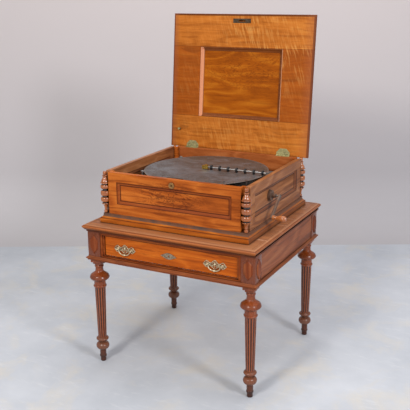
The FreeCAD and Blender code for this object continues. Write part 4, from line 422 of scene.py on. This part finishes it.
PLINTH = TABLE_TOP + 0.021
WOODS = {
    "top_walnut": wood("top_walnut", ("#64310f", "#9c5729", "#b4723c"), "X", 1.3, grime_and_shade_depth=0.85,
                       shine=0.2, extras=[
        streaks("X", "#5d2c12", 0.5), dusty(0.6, "#93694c"), streaks("X", "#c89a7c", 0.6, 30.0, 0.64, 0.7),
        # The thin dark lines at the nose's lower edge and just under its top edge are painted shade lines;
        # the orange and pale bands are the nose's own tone and dust.
        bands((0.6300, 0.6450, "#ab5f2c", 0.6), (0.6240, 0.6280, "#431c0c", 0.85),
              (0.6415, 0.6440, "#532510", 0.8), (0.6445, 0.6475, "#a97a58", 0.6)),
        # painted shade on the faces turned to the right
        painted_right_side_shade("#7b4c33", 0.45)]),
    # A darker copy of the moulding walnut for the cornice: painted shade under the table top's nose.
    "cornice_walnut_shaded": wood("cornice_walnut_shaded", ("#3f1c0d", "#642f16", "#7d4222"), "X", 2.1, grime_and_shade_depth=0.95,
                           mitre=(0.372, 0.352)),
    "edge_walnut": wood("edge_walnut", ("#562611", "#88441f", "#a5602f"), "X", 2.8, grime_and_shade_depth=0.95,
                        # painted shade on the faces turned to the right
                        mitre=(0.372, 0.352), extras=[dusty(0.3), painted_right_side_shade("#6e3f29", 0.5)]),
    "leg_walnut": wood("leg_walnut", ("#5f270d", "#8a421a", "#a35a2a"), "Z", 3.7, figure=0.4, gloss=0.2,
                       grime_and_shade_depth=1.0, shine=0.4, coat=0.25, reach=0.008, extras=[
                           painted_flute_shading(LEG_AT, 0.121, 0.353),
                           bands((0.0, 0.0300, "#1f1410", 0.9), (0.0300, 0.0600, "#38221a", 0.8),
                                 (0.0600, 0.1180, "#66493a", 0.65), (0.3880, 0.4140, "#5e2c15", 0.5)),
                           bands((0.4840, 0.6240, "#552711", 0.5))]),
    "side_walnut": wood("side_walnut", ("#5d2d16", "#8a4a28", "#a5653d"), "Y", 4.2, grime_and_shade_depth=0.8, shine=0.25,
                        extras=[streaks("Y", "#552a17", 0.5)]),
    # The rails' darker tone is partly painted shade under the table top's nose.
    "rail_walnut": wood("rail_walnut", ("#522209", "#81390f", "#9c5522"), "X", 5.9, grime_and_shade_depth=0.95),
    "drawer_walnut": wood("drawer_walnut", ("#8a3c0a", "#b65712", "#cb6d1e"), "X", 6.4, grime_and_shade_depth=0.9, shine=0.12,
                          extras=[streaks("X", "#7c3409", 0.6)]),
    "block_walnut": wood("block_walnut", ("#44190b", "#7a381a", "#a05c34"), "Z", 7.8, grime_and_shade_depth=1.0, reach=0.02,
                         extras=[streaks("Z", "#3b170a", 0.6)]),
    "front_walnut": wood("front_walnut", ("#6f300b", "#a9551b", "#c36e29"), "X", 8.5, figure=1.2, grime_and_shade_depth=0.9,
                         shine=0.1, extras=[
                             streaks("X", "#6a2c0b", 0.6), burr((-0.03, 0.790), 0.20, "#45190a"),
                             sunk_border("X", 0.2635, PANEL_LOW, PANEL_HIGH, 0.013, "#7f3c20", "#451a0b")]),
    "flank_walnut": wood("flank_walnut", ("#653519", "#986038", "#b57d53"), "Y", 9.1, grime_and_shade_depth=0.9, shine=0.3,
                         extras=[
                             streaks("Y", "#5a2f1b", 0.5),
                             sunk_border("Y", 0.232, PANEL_LOW, PANEL_HIGH, 0.013, "#6f3f2a", "#33160b")]),
    "back_walnut": wood("back_walnut", ("#6a3013", "#9f5527", "#b96e3c"), "X", 10.3, grime_and_shade_depth=0.7),
    "plinth_walnut": wood("plinth_walnut", ("#7a370c", "#ac5b1a", "#c87627"), "X", 11.9, grime_and_shade_depth=0.95,
                          shine=0.12, mitre=(0.332, 0.308), extras=[
                              # The cove's band is grey dust; the thin dark lines at the step under the cove
                              # and where the plinth meets the table top are painted shade lines, and the
                              # right side gets painted shade.
                              bands((PLINTH + 0.0065, PLINTH + 0.0205, "#55433a", 1.0),
                                    (PLINTH - 0.0018, PLINTH + 0.0012, "#4a1c0a", 0.9),
                                    (PLINTH - 0.0225, PLINTH - 0.0190, "#3d190b", 0.8)),
                              painted_right_side_shade("#6b4734", 0.7)]),
    "column_walnut": wood("column_walnut", ("#763615", "#a9622f", "#c98a52"), "Z", 12.2, figure=0.3,
                          gloss=0.18, grime_and_shade_depth=1.0, shine=0.6, coat=0.5, reach=0.012, extras=[
                              # near-black painted shade in the narrow necks between the columns' swellings
                              painted_shade_near_axles(COLUMN_AT, 0.0155, 0.7300, 0.8110, "#0d0603")]),
    "lid_walnut": wood("lid_walnut", ("#8f4a12", "#bb6c26", "#cf883a"), "X", 13.6, figure=0.5, grime_and_shade_depth=0.6,
                       shine=0.08, boards=True, extras=[
                           streaks("X", "#8a4610", 0.5, 60.0), streaks("X", "#6d3610", 0.45, 26.0, 0.6, 0.68),
                           ripple("#dca65c", 0.42, (0.14, 0.36, 1.42), 0.30),
                           ripple("#d3944c", 0.26, (-0.05, 0.33, 0.93), 0.30), lid_rim]),
    "lid_panel_walnut": wood("lid_panel_walnut", ("#7a3806", "#a0520c", "#b36616"), "X", 14.4, figure=1.7,
                             grime_and_shade_depth=0.85, reach=0.02, shine=0.05, extras=[
                                 burr((0.03, 1.24), 0.36, "#7c3a08"), streaks("X", "#7a3a0a", 0.35, 45.0)]),
    "lid_bead_walnut": wood("lid_bead_walnut", ("#54280f", "#7d4219", "#9a5b2b"), "X", 15.0, figure=0.4,
                            grime_and_shade_depth=0.8, gloss=0.3, shine=0.2, extras=[bead_painted_highlights]),
    "bare_beech": wood("bare_beech", ("#8d6a45", "#b5946a", "#ccb088"), "Y", 16.8, figure=0.8, gloss=0.6,
                       grime_and_shade_depth=0.4),
    "grip_beech": wood("grip_beech", ("#7f431d", "#aa6434", "#c58452"), "X", 17.1, figure=0.5, gloss=0.22,
                       grime_and_shade_depth=0.5, shine=0.5, coat=0.3),
}
METALS = {
    "pull_brass": metal("pull_brass_worn", "#d9c8a4", "#7c6545", 0.36, 0.6, metallic=0.65, scale=90.0,
                        wear=0.6, grime_and_shade_depth=0.9),
    "keyplate_brass": metal("keyplate_brass_dull", "#a8967e", "#4a3a2b", 0.42, 0.85, metallic=0.6,
                            scale=150.0, wear=0.4, grime_and_shade_depth=0.9),
    "keyhole_brass": metal("keyhole_brass_dark", "#a87c48", "#4c3420", 0.4, 0.7, metallic=0.7,
                           scale=120.0, wear=0.3, grime_and_shade_depth=0.9),
    "hinge_brass": metal("hinge_brass_worn", "#b3aa78", "#5b5c3e", 0.4, 0.85, metallic=0.7, scale=95.0,
                         wear=0.5),
    "lock_steel": metal("lock_steel_dark", "#54473a", "#261e17", 0.45, 0.7, scale=70.0),
    "bed_iron": metal("bed_iron_painted", "#6b6763", "#47413c", 0.55, 0.6, metallic=0.3, scale=18.0),
    "wheel_brass": metal("wheel_brass_turned", "#c9a552", "#8a6a2e", 0.32, 0.5, scale=40.0),
    "arbor_steel": metal("arbor_steel_turned", "#8d8b88", "#55504a", 0.34, 0.5, scale=60.0),
    "comb_steel": metal("comb_steel_ground", "#b4b2b0", "#6e665e", 0.34, 0.5, scale=60.0),
    "roller_black": metal("roller_rubber", "#141315", "#201d1c", 0.5, 0.5, metallic=0.0, scale=120.0,
                          grime_and_shade_depth=0.2),
    "crank_iron": metal("crank_iron_rusty", "#6f5a4c", "#6a4229", 0.5, 0.75, metallic=0.45, scale=45.0),
}
DISC = disc_steel()


# Meshes


def add_object(name, data):
    made = bpy.data.objects.new(name, data)
    bpy.context.scene.collection.objects.link(made)
    return made


def pour(source, target):
    """Empties one bmesh into another."""
    held = bpy.data.meshes.new("held")
    source.to_mesh(held)
    source.free()
    target.from_mesh(held)
    bpy.data.meshes.remove(held)


def piece_from(name, work, body, material, replaced=(), sharp=40.0):
    """Makes an object of a bmesh, shades it smooth up to its sharp edges and sets it on its body."""
    bmesh.ops.recalc_face_normals(work, faces=work.faces)
    mesh = bpy.data.meshes.new(name)
    work.to_mesh(mesh)
    work.free()
    return settle(add_object(name, mesh), body, material, replaced, sharp)


def settle(piece, body, material, replaced=(), sharp=40.0):
    """Gives an object its material, smooth shading and body, and hides the nodes it stands for."""
    mesh = piece.data
    mesh.materials.clear()
    mesh.materials.append(material)
    mesh.polygons.foreach_set("use_smooth", [True] * len(mesh.polygons))
    mesh.set_sharp_from_angle(angle=math.radians(sharp))
    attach(piece, body)
    if replaced:
        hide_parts(*replaced)
    return piece


def soften(node, material, width=0.0015, segments=2, angle=28.0):
    """Stands for a CAD node with a copy whose edges are rounded over."""
    mesh = frame["nodes"][node].data.copy()
    work = bmesh.new()
    work.from_mesh(mesh)
    bmesh.ops.remove_doubles(work, verts=work.verts, dist=1e-5)
    bmesh.ops.dissolve_limit(work, angle_limit=math.radians(0.6), verts=work.verts, edges=work.edges)
    work.to_mesh(mesh)
    work.free()
    piece = settle(add_object(node + "_rounded", mesh), BODIES[node], material, (node,))
    bevel = piece.modifiers.new("rounded", "BEVEL")
    bevel.width = width
    bevel.segments = segments
    bevel.limit_method = "ANGLE"
    bevel.angle_limit = math.radians(angle)
    bevel.harden_normals = True


def bulb(points, root, radius, height, power=2.0, steps=10):
    """Adds a rounded swelling to a turned profile."""
    base = points[-1][1]
    for step in range(steps + 1):
        share = step / steps
        side = abs(2 * share - 1)
        points.append((root + (radius - root) * (1 - side ** power) ** (1 / power), base + height * share))


def step_to(points, radius, height=0.0):
    points.append((radius, points[-1][1] + height))


def sweep_to(points, radius, height, rule, steps=10):
    """Adds a curved run to a turned profile; rule shapes the way from the old radius to the new one."""
    start, base = points[-1]
    for step in range(1, steps + 1):
        share = step / steps
        points.append((start + (radius - start) * rule(share), base + height * share))


def swift(share):
    return math.sin(share * math.pi / 2)


def slow(share):
    return 1 - math.cos(share * math.pi / 2)


def ess(share):
    return 0.5 - 0.5 * math.cos(share * math.pi)


def lathe(work, points, centre, across=48, axis="Z", flute=None):
    """Adds the solid that a profile in millimetres sweeps round an axis through centre, in metres."""
    clean = [points[0]]
    for radius, height in points[1:]:
        if abs(radius - clean[-1][0]) + abs(height - clean[-1][1]) > 0.02:
            clean.append((radius, height))
    rows = []
    for radius, height in clean:
        row = []
        for turn in range(across):
            angle = 2 * math.pi * turn / across
            reach = radius - (flute(angle, height) if flute else 0.0)
            spot = Vector((reach * math.cos(angle), reach * math.sin(angle), height)) * MM
            if axis == "X":
                spot = Vector((spot.z, spot.x, spot.y))
            elif axis == "Y":
                spot = Vector((spot.x, -spot.z, spot.y))
            row.append(work.verts.new(Vector(centre) + spot))
        rows.append(row)
    for low, high in zip(rows, rows[1:]):
        for turn in range(across):
            after = (turn + 1) % across
            work.faces.new((low[turn], low[after], high[after], high[turn]))
    for row in (rows[0], rows[-1]):
        work.faces.new(row)


def block(work, low, high, edge=0.0):
    """Adds a box between two corners with its edges broken."""
    made = bmesh.ops.create_cube(work, size=1.0)["verts"]
    low, high = Vector(low), Vector(high)
    size = high - low
    for vert in made:
        vert.co = low + Vector(((vert.co[i] + 0.5) * size[i] for i in range(3)))
    if edge:
        edges = list({e for vert in made for e in vert.link_edges})
        bmesh.ops.bevel(work, geom=edges, offset=edge, segments=2, profile=0.5, affect="EDGES")


# Table


def leg_profile():
    points = [(11.0, 0.0), (12.5, 1.5)]
    step_to(points, 12.5, 17.5)
    bulb(points, 12.8, 15.5, 12.0)
    step_to(points, 13.6)
    step_to(points, 14.2, 27.0)
    bulb(points, 15.5, 29.0, 33.0, 1.9, 16)
    step_to(points, 16.0)
    step_to(points, 16.0, 3.0)
    sweep_to(points, 27.0, 13.0, ess, 8)
    step_to(points, 27.6, 2.0)
    step_to(points, 26.6, 2.0)
    sweep_to(points, 19.5, 6.0, slow, 5)
    step_to(points, 18.5)
    for share in range(1, 13):
        step_to(points, 18.5 + 5.5 * share / 12, (SHAFT_HIGH - SHAFT_LOW) / 12)
    bulb(points, 25.0, 28.5, 10.0)
    step_to(points, 25.0)
    step_to(points, 25.0, 17.0)
    sweep_to(points, 30.0, 4.0, slow, 4)
    sweep_to(points, 43.0, 14.0, swift, 8)
    sweep_to(points, 41.0, 6.0, slow, 4)
    sweep_to(points, 17.5, 25.0, ess, 12)
    step_to(points, 16.5, 14.0)
    bulb(points, 16.5, 19.5, 12.0)
    step_to(points, 16.5)
    step_to(points, 16.5, 460.0 - points[-1][1])
    return points


def flutes(angle, height):
    """How deep a leg's flutes cut at a height: round channels that fade out at both ends."""
    ends = min(max((height - SHAFT_LOW) / 8.0, 0.0), max((SHAFT_HIGH - 2.0 - height) / 8.0, 0.0), 1.0)
    wave = abs(math.cos(angle * FLUTES / 2))
    return ends * (1.8 + (height - SHAFT_LOW + 2.0) / 240.0) * wave ** 1.6


def make_legs():
    for side, side_name in ((-1, "left"), (1, "right")):
        for end, end_name in ((-1, "front"), (1, "rear")):
            x, y = SHIFT + LEG_AT[0] * side, LEG_AT[1] * end
            work = bmesh.new()
            lathe(work, leg_profile(), (x, y, 0.0), 96, flute=flutes)
            for half, low, high in ((0.019, 0.460, 0.470), (0.026, 0.470, 0.484), (0.031, 0.484, 0.624)):
                block(work, (x - half, y - half, low), (x + half, y + half, high), 0.002)
            node = "leg_%s_%s" % (end_name, side_name)
            piece_from(node + "_turned", work, "root", WOODS["leg_walnut"], (node,))


def wires(routes, radius, closed=False):
    """A bmesh of round wires with smooth bends through the places of each route."""
    curve = bpy.data.curves.new("wires", "CURVE")
    curve.dimensions = "3D"
    curve.bevel_depth = radius
    curve.bevel_resolution = 3
    curve.use_fill_caps = True
    for route in routes:
        line = curve.splines.new("BEZIER")
        line.use_cyclic_u = closed
        line.resolution_u = 6
        line.bezier_points.add(len(route) - 1)
        for point, spot in zip(line.bezier_points, route):
            point.co = spot
            point.handle_left_type = point.handle_right_type = "AUTO"
    held = add_object("wires", curve)
    mesh = bpy.data.meshes.new_from_object(held.evaluated_get(bpy.context.evaluated_depsgraph_get()))
    bpy.data.objects.remove(held)
    work = bmesh.new()
    work.from_mesh(mesh)
    return work


def make_bails():
    half = 0.0262
    for side, name in ((-1, "left"), (1, "right")):
        node = "pull_bail_" + name
        middle = SHIFT + PULL_X * side
        bow = [(-half, 0.0), (-half * 0.98, -0.009), (-half * 0.55, -0.0195), (0.0, -0.0215),
               (half * 0.55, -0.0195), (half * 0.98, -0.009), (half, 0.0)]
        work = wires([[(middle + u, BAIL_Y, PULL_Z + v) for u, v in bow]], 0.0024)
        knop = [(0.5, -5.5)]
        bulb(knop, 1.2, 4.3, 11.0, 2.2)
        step_to(knop, 0.5)
        lathe(work, knop, (middle, BAIL_Y, PULL_Z - 0.0215), 24, "X")
        for end in (-1, 1):
            pivot = [(1.5, -4.2), (2.4, -3.4), (2.4, 3.4), (1.5, 4.2)]
            lathe(work, pivot, (middle + (half + 0.0055) * end, BAIL_Y, PULL_Z), 20, "X")
        piece_from(node + "_bow", work, BODIES[node], METALS["pull_brass"], (node,))


def scroll(middle, radius, turns, start, hand):
    """A spiral that winds in to its middle, as places across and up, in millimetres."""
    steps = round(turns * 9)
    spots = []
    for step in range(steps + 1):
        angle = start + hand * 2 * math.pi * turns * step / steps
        reach = radius * (1 - 0.75 * step / steps)
        spots.append((middle[0] + reach * math.cos(angle), middle[1] + reach * math.sin(angle)))
    return spots


def lobed_edge(half, tall):
    """The wavy outline of a pull: a high lobe in the middle and a lower one on each side."""
    def height(u):
        lobes = 0.66 + 0.30 * math.cos(u * 2 * math.pi / (half * 0.76)) + 0.22 * math.exp(-(u / 11.0) ** 2)
        return tall * lobes * (1 - min(abs(u) / (half * 1.01), 1.0) ** 7)
    across = [half * math.sin(math.pi * (i / 20 - 0.5)) for i in range(21)]
    return [(u, height(u)) for u in across] + [(u, -0.8 * height(u)) for u in reversed(across[1:-1])]


def on_drawer(middle, spots, out):
    return [(middle + u * MM, DRAWER_Y - out * MM, PULL_Z + v * MM) for u, v in spots]


def make_pull_plates():
    """Openwork plates: a lobed border filled with scrolls, and the two posts that carry the bail."""
    joined = bmesh.new()
    for side in (-1, 1):
        middle = SHIFT + PULL_X * side
        inner = []
        for hand in (-1, 1):
            inner += [scroll((39 * hand, 2.5), 7.5, 1.4, math.pi / 2 - hand * 1.9, -hand),
                      scroll((22 * hand, 4.5), 6.5, 1.3, math.pi / 2 + hand * 1.9, hand),
                      scroll((7.0 * hand, 6.5), 7.0, 1.3, -math.pi / 2 + hand * 1.2, hand),
                      scroll((10.0 * hand, -5.5), 5.5, 1.2, math.pi / 2 + hand * 0.6, -hand),
                      [(2.0 * hand, -2.0), (14.0 * hand, -1.0), (27.0 * hand, -4.5), (44.0 * hand, -5.0),
                       (50.0 * hand, 0.0)]]
        inner.append([(0.0, -12.0), (0.0, 0.0), (0.0, 17.0)])
        parts = [wires([on_drawer(middle, spots, 1.0) for spots in inner], 0.00105),
                 wires([on_drawer(middle, lobed_edge(50.0, 17.0), 0.8)], 0.0013, True)]
        posts = bmesh.new()
        for end in (-1, 1):
            post = [(3.0, -0.5), (6.2, 0.0), (6.2, 1.6), (4.6, 2.8), (3.9, 3.4), (3.9, 9.4), (3.1, 10.4)]
            lathe(posts, post, (middle + 0.033 * end, DRAWER_Y, PULL_Z), 28, "Y")
        boss = [(1.0, -0.5), (4.4, 0.0), (4.4, 1.8), (2.6, 3.6), (0.6, 4.1)]
        lathe(posts, boss, (middle, DRAWER_Y, PULL_Z + 0.004), 24, "Y")
        for part in parts + [posts]:
            pour(part, joined)
    piece_from("pull_plates_openwork", joined, BODIES["pull_plates"], METALS["pull_brass"],
               ("pull_plates",))


def make_keyplate_scrolls():
    """Low relief on the drawer's key plate: a ring round the keyhole and a scroll towards each tip."""
    ring = [(6.0 * math.cos(i * math.pi / 6), 5.0 + 6.0 * math.sin(i * math.pi / 6)) for i in range(12)]
    work = wires([on_drawer(SHIFT, ring, 1.6)], 0.0008, True)
    leaves = []
    for hand in (-1, 1):
        leaves.append(scroll((17.0 * hand, 5.0), 4.5, 1.3, math.pi / 2 + hand * 1.6, hand))
        leaves.append([(20.0 * hand, 1.5), (27.0 * hand, 2.0), (36.0 * hand, 3.2)])
    pour(wires([on_drawer(SHIFT, spots, 1.6) for spots in leaves], 0.0008), work)
    piece_from("keyplate_scrolls", work, "drawer", METALS["keyplate_brass"])


# Case


def column_profile():
    points = [(3.0, 41.0)]
    bulb(points, 5.0, 8.5, 13.0, 2.2)
    step_to(points, 5.0)
    step_to(points, 6.0, 3.0)
    sweep_to(points, 11.5, 22.0, slow, 8)
    bulb(points, 12.5, 17.0, 6.0)
    step_to(points, 12.5)
    for tall, gap, radius in ((22.0, 4.0, 20.5), (24.0, 4.0, 20.5), (18.0, 7.0, 20.5)):
        step_to(points, 12.0, gap)
        bulb(points, 13.0, radius, tall, 2.5, 14)
        step_to(points, 12.0)
    step_to(points, 12.0, 4.0)
    bulb(points, 13.0, 20.0, 6.5, 2.0)
    step_to(points, 17.0)
    sweep_to(points, 8.5, 24.0, ess, 12)
    bulb(points, 8.0, 11.5, 5.0)
    step_to(points, 6.0)
    bulb(points, 5.0, 8.0, 220.0 - points[-1][1], 2.2)
    return points


def make_columns():
    work = bmesh.new()
    for side in (-1, 1):
        for end in (-1, 1):
            lathe(work, column_profile(), (SHIFT + COLUMN_AT[0] * side, COLUMN_AT[1] * end, TABLE_TOP), 64)
    piece_from("corner_columns_turned", work, "root", WOODS["column_walnut"],
               ("corner_columns",))


# Mechanism


def make_disc():
    """The tune disc: a thin sheet with rows of small slots where projections were punched down."""
    dice = random.Random(7)
    sectors = 300
    radii = [0.0041, 0.012, 0.03, 0.055, 0.082]
    first = len(radii)
    for track in range(44):
        radii += [0.086 + 0.004 * track, 0.0882 + 0.004 * track]
    radii += [0.264, 0.2688, 0.27]
    work = bmesh.new()
    angles = [2 * math.pi * i / sectors for i in range(sectors)]
    rays = [(math.cos(angle), math.sin(angle)) for angle in angles]
    rows = [[work.verts.new((SHIFT + radius * x, radius * y, DISC_Z)) for x, y in rays] for radius in radii]
    for index in range(len(rows) - 1):
        slotted = index >= first and (index - first) % 2 == 0 and index < first + 88
        quiet = 0
        for i in range(sectors):
            if slotted and quiet <= 0 and dice.random() < 0.12:
                quiet = 3
                continue
            quiet -= 1
            after = (i + 1) % sectors
            work.faces.new((rows[index][i], rows[index + 1][i], rows[index + 1][after], rows[index][after]))
    piece = piece_from("tune_disc", work, "turntable", DISC, ("disc",))
    sheet = piece.modifiers.new("sheet", "SOLIDIFY")
    sheet.thickness = 0.001
    sheet.offset = -1.0


def make_rollers():
    work = bmesh.new()
    for index in range(7):
        tyre = [(3.05, -3.5), (9.3, -3.5)]
        sweep_to(tyre, 10.3, 0.9, swift, 4)
        step_to(tyre, 10.3, 5.2)
        tyre += [(10.0, 3.1), (9.3, 3.5), (3.05, 3.5)]
        lathe(work, tyre, (SHIFT + 0.025 + 0.040 * index, 0.0, ROLLER_Z), 40, "X")
    piece_from("bar_roller_tyres", work, "rollers", METALS["roller_black"], ("bar_rollers",))


# Screws


def screw_heads(name, spots, normal, radius, body, material):
    """Slotted round screw heads that stand a little proud of the face they hold."""
    work = bmesh.new()
    turn = Vector((0, 0, 1)).rotation_difference(Vector(normal)).to_matrix().to_4x4()
    for index, spot in enumerate(spots):
        head = bmesh.new()
        dome = [(radius * share, height) for share, height in (
            (0.98, -0.6), (1.0, 0.0), (0.9, 0.35), (0.6, 0.6), (0.25, 0.7))]
        lathe(head, dome, (0, 0, 0), 20)
        block(head, (-radius * MM * 0.92, -0.0003, 0.00062), (radius * MM * 0.92, 0.0003, 0.00078))
        spin = Matrix.Rotation(0.7 + index * 1.1, 4, "Z")
        bmesh.ops.transform(head, matrix=Matrix.Translation(spot) @ turn @ spin, verts=head.verts)
        pour(head, work)
    piece_from(name, work, body, material)


LID_TURN = Matrix.Rotation(-LID_ANGLE, 3, "X")
LID_OUT = LID_TURN @ Vector((0.0, 0.0, -1.0))


def on_lid(x, along):
    """A place on the inner face of the open lid: across and up from the pins, in metres."""
    return PINS + LID_TURN @ Vector((x, -along, 0.0003))


def make_screws():
    spread = ((-0.021, 0.0095), (0.0, 0.0235), (0.021, 0.0095))
    hinge = [on_lid(x + dx, along) for x in (-HINGE_X, HINGE_X) for dx, along in spread]
    screw_heads("lid_hinge_screws", hinge, LID_OUT, 2.6, "lid", METALS["hinge_brass"])
    strike = [on_lid(dx, STRIKE_ALONG) for dx in (-0.036, 0.036)]
    screw_heads("strike_plate_screws", strike, LID_OUT, 2.6, "lid", METALS["lock_steel"])


# The other CAD nodes


ROUNDED = {
    "table_top": ("top_walnut", 0.0012), "frieze_boards": ("side_walnut", 0.0008),
    "block_panels": ("block_walnut", 0.0009), "drawer_rails": ("rail_walnut", 0.0009),
    "drawer_surround": ("rail_walnut", 0.0009), "cornice": ("cornice_walnut_shaded", 0.0009),
    "base_moulding": ("edge_walnut", 0.0009), "drawer_runners": ("bare_beech", 0.001),
    "drawer_front": ("drawer_walnut", 0.0014), "drawer_box": ("bare_beech", 0.001),
    "case_front": ("front_walnut", 0.0012), "case_back": ("back_walnut", 0.0012),
    "case_left": ("flank_walnut", 0.0012), "case_right": ("flank_walnut", 0.0012),
    "case_floor": ("bare_beech", 0.001), "case_plinth": ("plinth_walnut", 0.0012),
    "corner_posts": ("front_walnut", 0.0008), "lid_frame": ("lid_walnut", 0.0012),
    "lid_panel": ("lid_panel_walnut", 0.0008), "lid_moulding": ("lid_bead_walnut", 0.0008),
    "crank_arm": ("crank_iron", 0.0012), "crank_boss": ("crank_iron", 0.0006),
    "bar_hub": ("wheel_brass", 0.0006), "bedplate": ("bed_iron", 0.001),
    "strike_plate": ("lock_steel", 0.0002), "case_lock": ("lock_steel", 0.0005),
    "lock_bolt": ("lock_steel", 0.0006), "lock_escutcheon": ("keyhole_brass", 0.0005),
    "drawer_escutcheon": ("keyplate_brass", 0.0004),
}


def dress_nodes():
    """Rounds the nodes listed above, and gives the rest the finish of their slot."""
    finishes = {**WOODS, **METALS}
    for node, (finish, width) in ROUNDED.items():
        soften(node, finishes[finish], width)
    for node, piece in frame["nodes"].items():
        material = finishes.get(SLOTS[node])
        if SLOTS[node] == "grip_wood":
            material = WOODS["grip_beech"]
        if material and not piece.hide_render:
            for slot in piece.material_slots:
                slot.material = material


# Studio


def make_stage():
    """A floor, and a wall that curves up from it behind the part and is clear when seen from its back."""
    floor = Tree("studio_floor")
    cloth = floor.ramp(floor.noise(floor.place, 2.3, 5.0, 0.62), [(0.3, "#b4b9c0"), (0.7, "#c8ccd2")])
    stains = floor.remap(floor.noise(floor.place, 3.4, 6.0, 0.68, 0.6), 0.5, 0.68, 0.0, 0.6)
    cloth = floor.mix(stains, cloth, tone("#cfc9bd"))
    drawn = floor.noise(floor.vector("MULTIPLY", floor.place, (7.0, 26.0, 1.0)), 1.0, 4.0, 0.7)
    scuffs = floor.remap(drawn, 0.56, 0.7, 0.0, 0.35)
    floor.finish(floor.mix(scuffs, cloth, tone("#d6d8da")), 0.9, Specular_IOR_Level=0.1)
    wall = Tree("studio_wall")
    height = wall.split(wall.place)[2]
    wall.finish(wall.ramp(wall.remap(height, 0.0, 2.2), [(0.0, "#bbb8ba"), (1.0, "#c9bfbd")]), 0.95,
                Specular_IOR_Level=0.05)
    behind = wall.node("NewGeometry").outputs["Backfacing"]
    clear = wall.node("BsdfTransparent").outputs[0]
    one_sided = wall.node("MixShader", {0: behind, 1: wall.shader.outputs[0], 2: clear})
    wall.feed(wall.material.node_tree.nodes["Material Output"].inputs["Surface"], one_sided.outputs[0])
    profile = [(WALL_AT, 0.0)]
    for step in range(1, 13):
        angle = math.pi / 2 * step / 12
        profile.append((WALL_AT + WALL_BEND * math.sin(angle), WALL_BEND - WALL_BEND * math.cos(angle)))
    profile.append((WALL_AT + WALL_BEND, WALL_TOP))
    turned = Matrix.Rotation(CAMERA_YAW, 4, "Z")
    ground = [(-STAGE_HALF, 0.0), (STAGE_HALF, 0.0)]
    for name, rows, material in (("floor", ground, floor), ("backdrop", profile, wall)):
        work = bmesh.new()
        lines = [[work.verts.new(turned @ Vector((x, y, z))) for x in (-STAGE_HALF, STAGE_HALF)]
                 for y, z in rows]
        for low, high in zip(lines, lines[1:]):
            work.faces.new((low[0], low[1], high[1], high[0]))
        mesh = bpy.data.meshes.new(name)
        work.to_mesh(mesh)
        work.free()
        made = add_object(name, mesh)
        mesh.materials.append(material.material)
        mesh.polygons.foreach_set("use_smooth", [True] * len(mesh.polygons))


def lamp(name, place, aim, size, power, colour="#ffffff"):
    """A round soft light at a place, turned to an aim."""
    data = bpy.data.lights.new(name, "AREA")
    data.shape = "DISK"
    data.size = size
    data.energy = power
    data.color = tone(colour)[:3]
    made = add_object(name, data)
    made.location = place
    made.rotation_mode = "QUATERNION"
    made.rotation_quaternion = (Vector(aim) - Vector(place)).to_track_quat("-Z", "Y")


def make_light():
    lamp("key", (-0.3, -4.0, 3.1), (0.0, 0.0, 0.7), 0.9, 108.0, "#fffaf4")
    lamp("fill", (3.6, -1.7, 2.7), (0.0, 0.0, 0.7), 0.9, 92.0, "#fbfaff")
    lamp("top", (0.2, 0.4, 3.6), (0.0, 0.0, 0.8), 2.0, 40.0)
    world = bpy.data.worlds.new("studio")
    world.use_nodes = True
    sky = world.node_tree.nodes["Background"]
    sky.inputs[0].default_value = (0.93, 0.94, 0.97, 1.0)
    sky.inputs[1].default_value = 0.56
    bpy.context.scene.world = world


def make_camera():
    """The photo's own view."""
    yaw, pitch, roll = CAMERA_YAW, CAMERA_PITCH, CAMERA_ROLL
    ahead = Vector((-math.sin(yaw) * math.cos(pitch), math.cos(yaw) * math.cos(pitch), -math.sin(pitch)))
    right = Vector((math.cos(yaw), math.sin(yaw), 0.0))
    up = right.cross(ahead)
    level = right * math.cos(roll) + up * math.sin(roll)
    upright = up * math.cos(roll) - right * math.sin(roll)
    data = bpy.data.cameras.new("camera")
    data.sensor_width = SENSOR
    data.lens = FOCAL / PHOTO_SIDE * SENSOR
    data.clip_start, data.clip_end = 0.05, 60.0
    made = add_object("camera", data)
    turned = Matrix((level, upright, -ahead)).transposed().to_4x4()
    made.matrix_world = Matrix.Translation(CAMERA_AT) @ turned
    bpy.context.scene.camera = made


make_camera()
make_light()
make_stage()
make_legs()
make_bails()
make_pull_plates()
make_keyplate_scrolls()
make_columns()
make_disc()
make_rollers()
make_screws()
dress_nodes()
bpy.context.scene.view_settings.view_transform = "Standard"
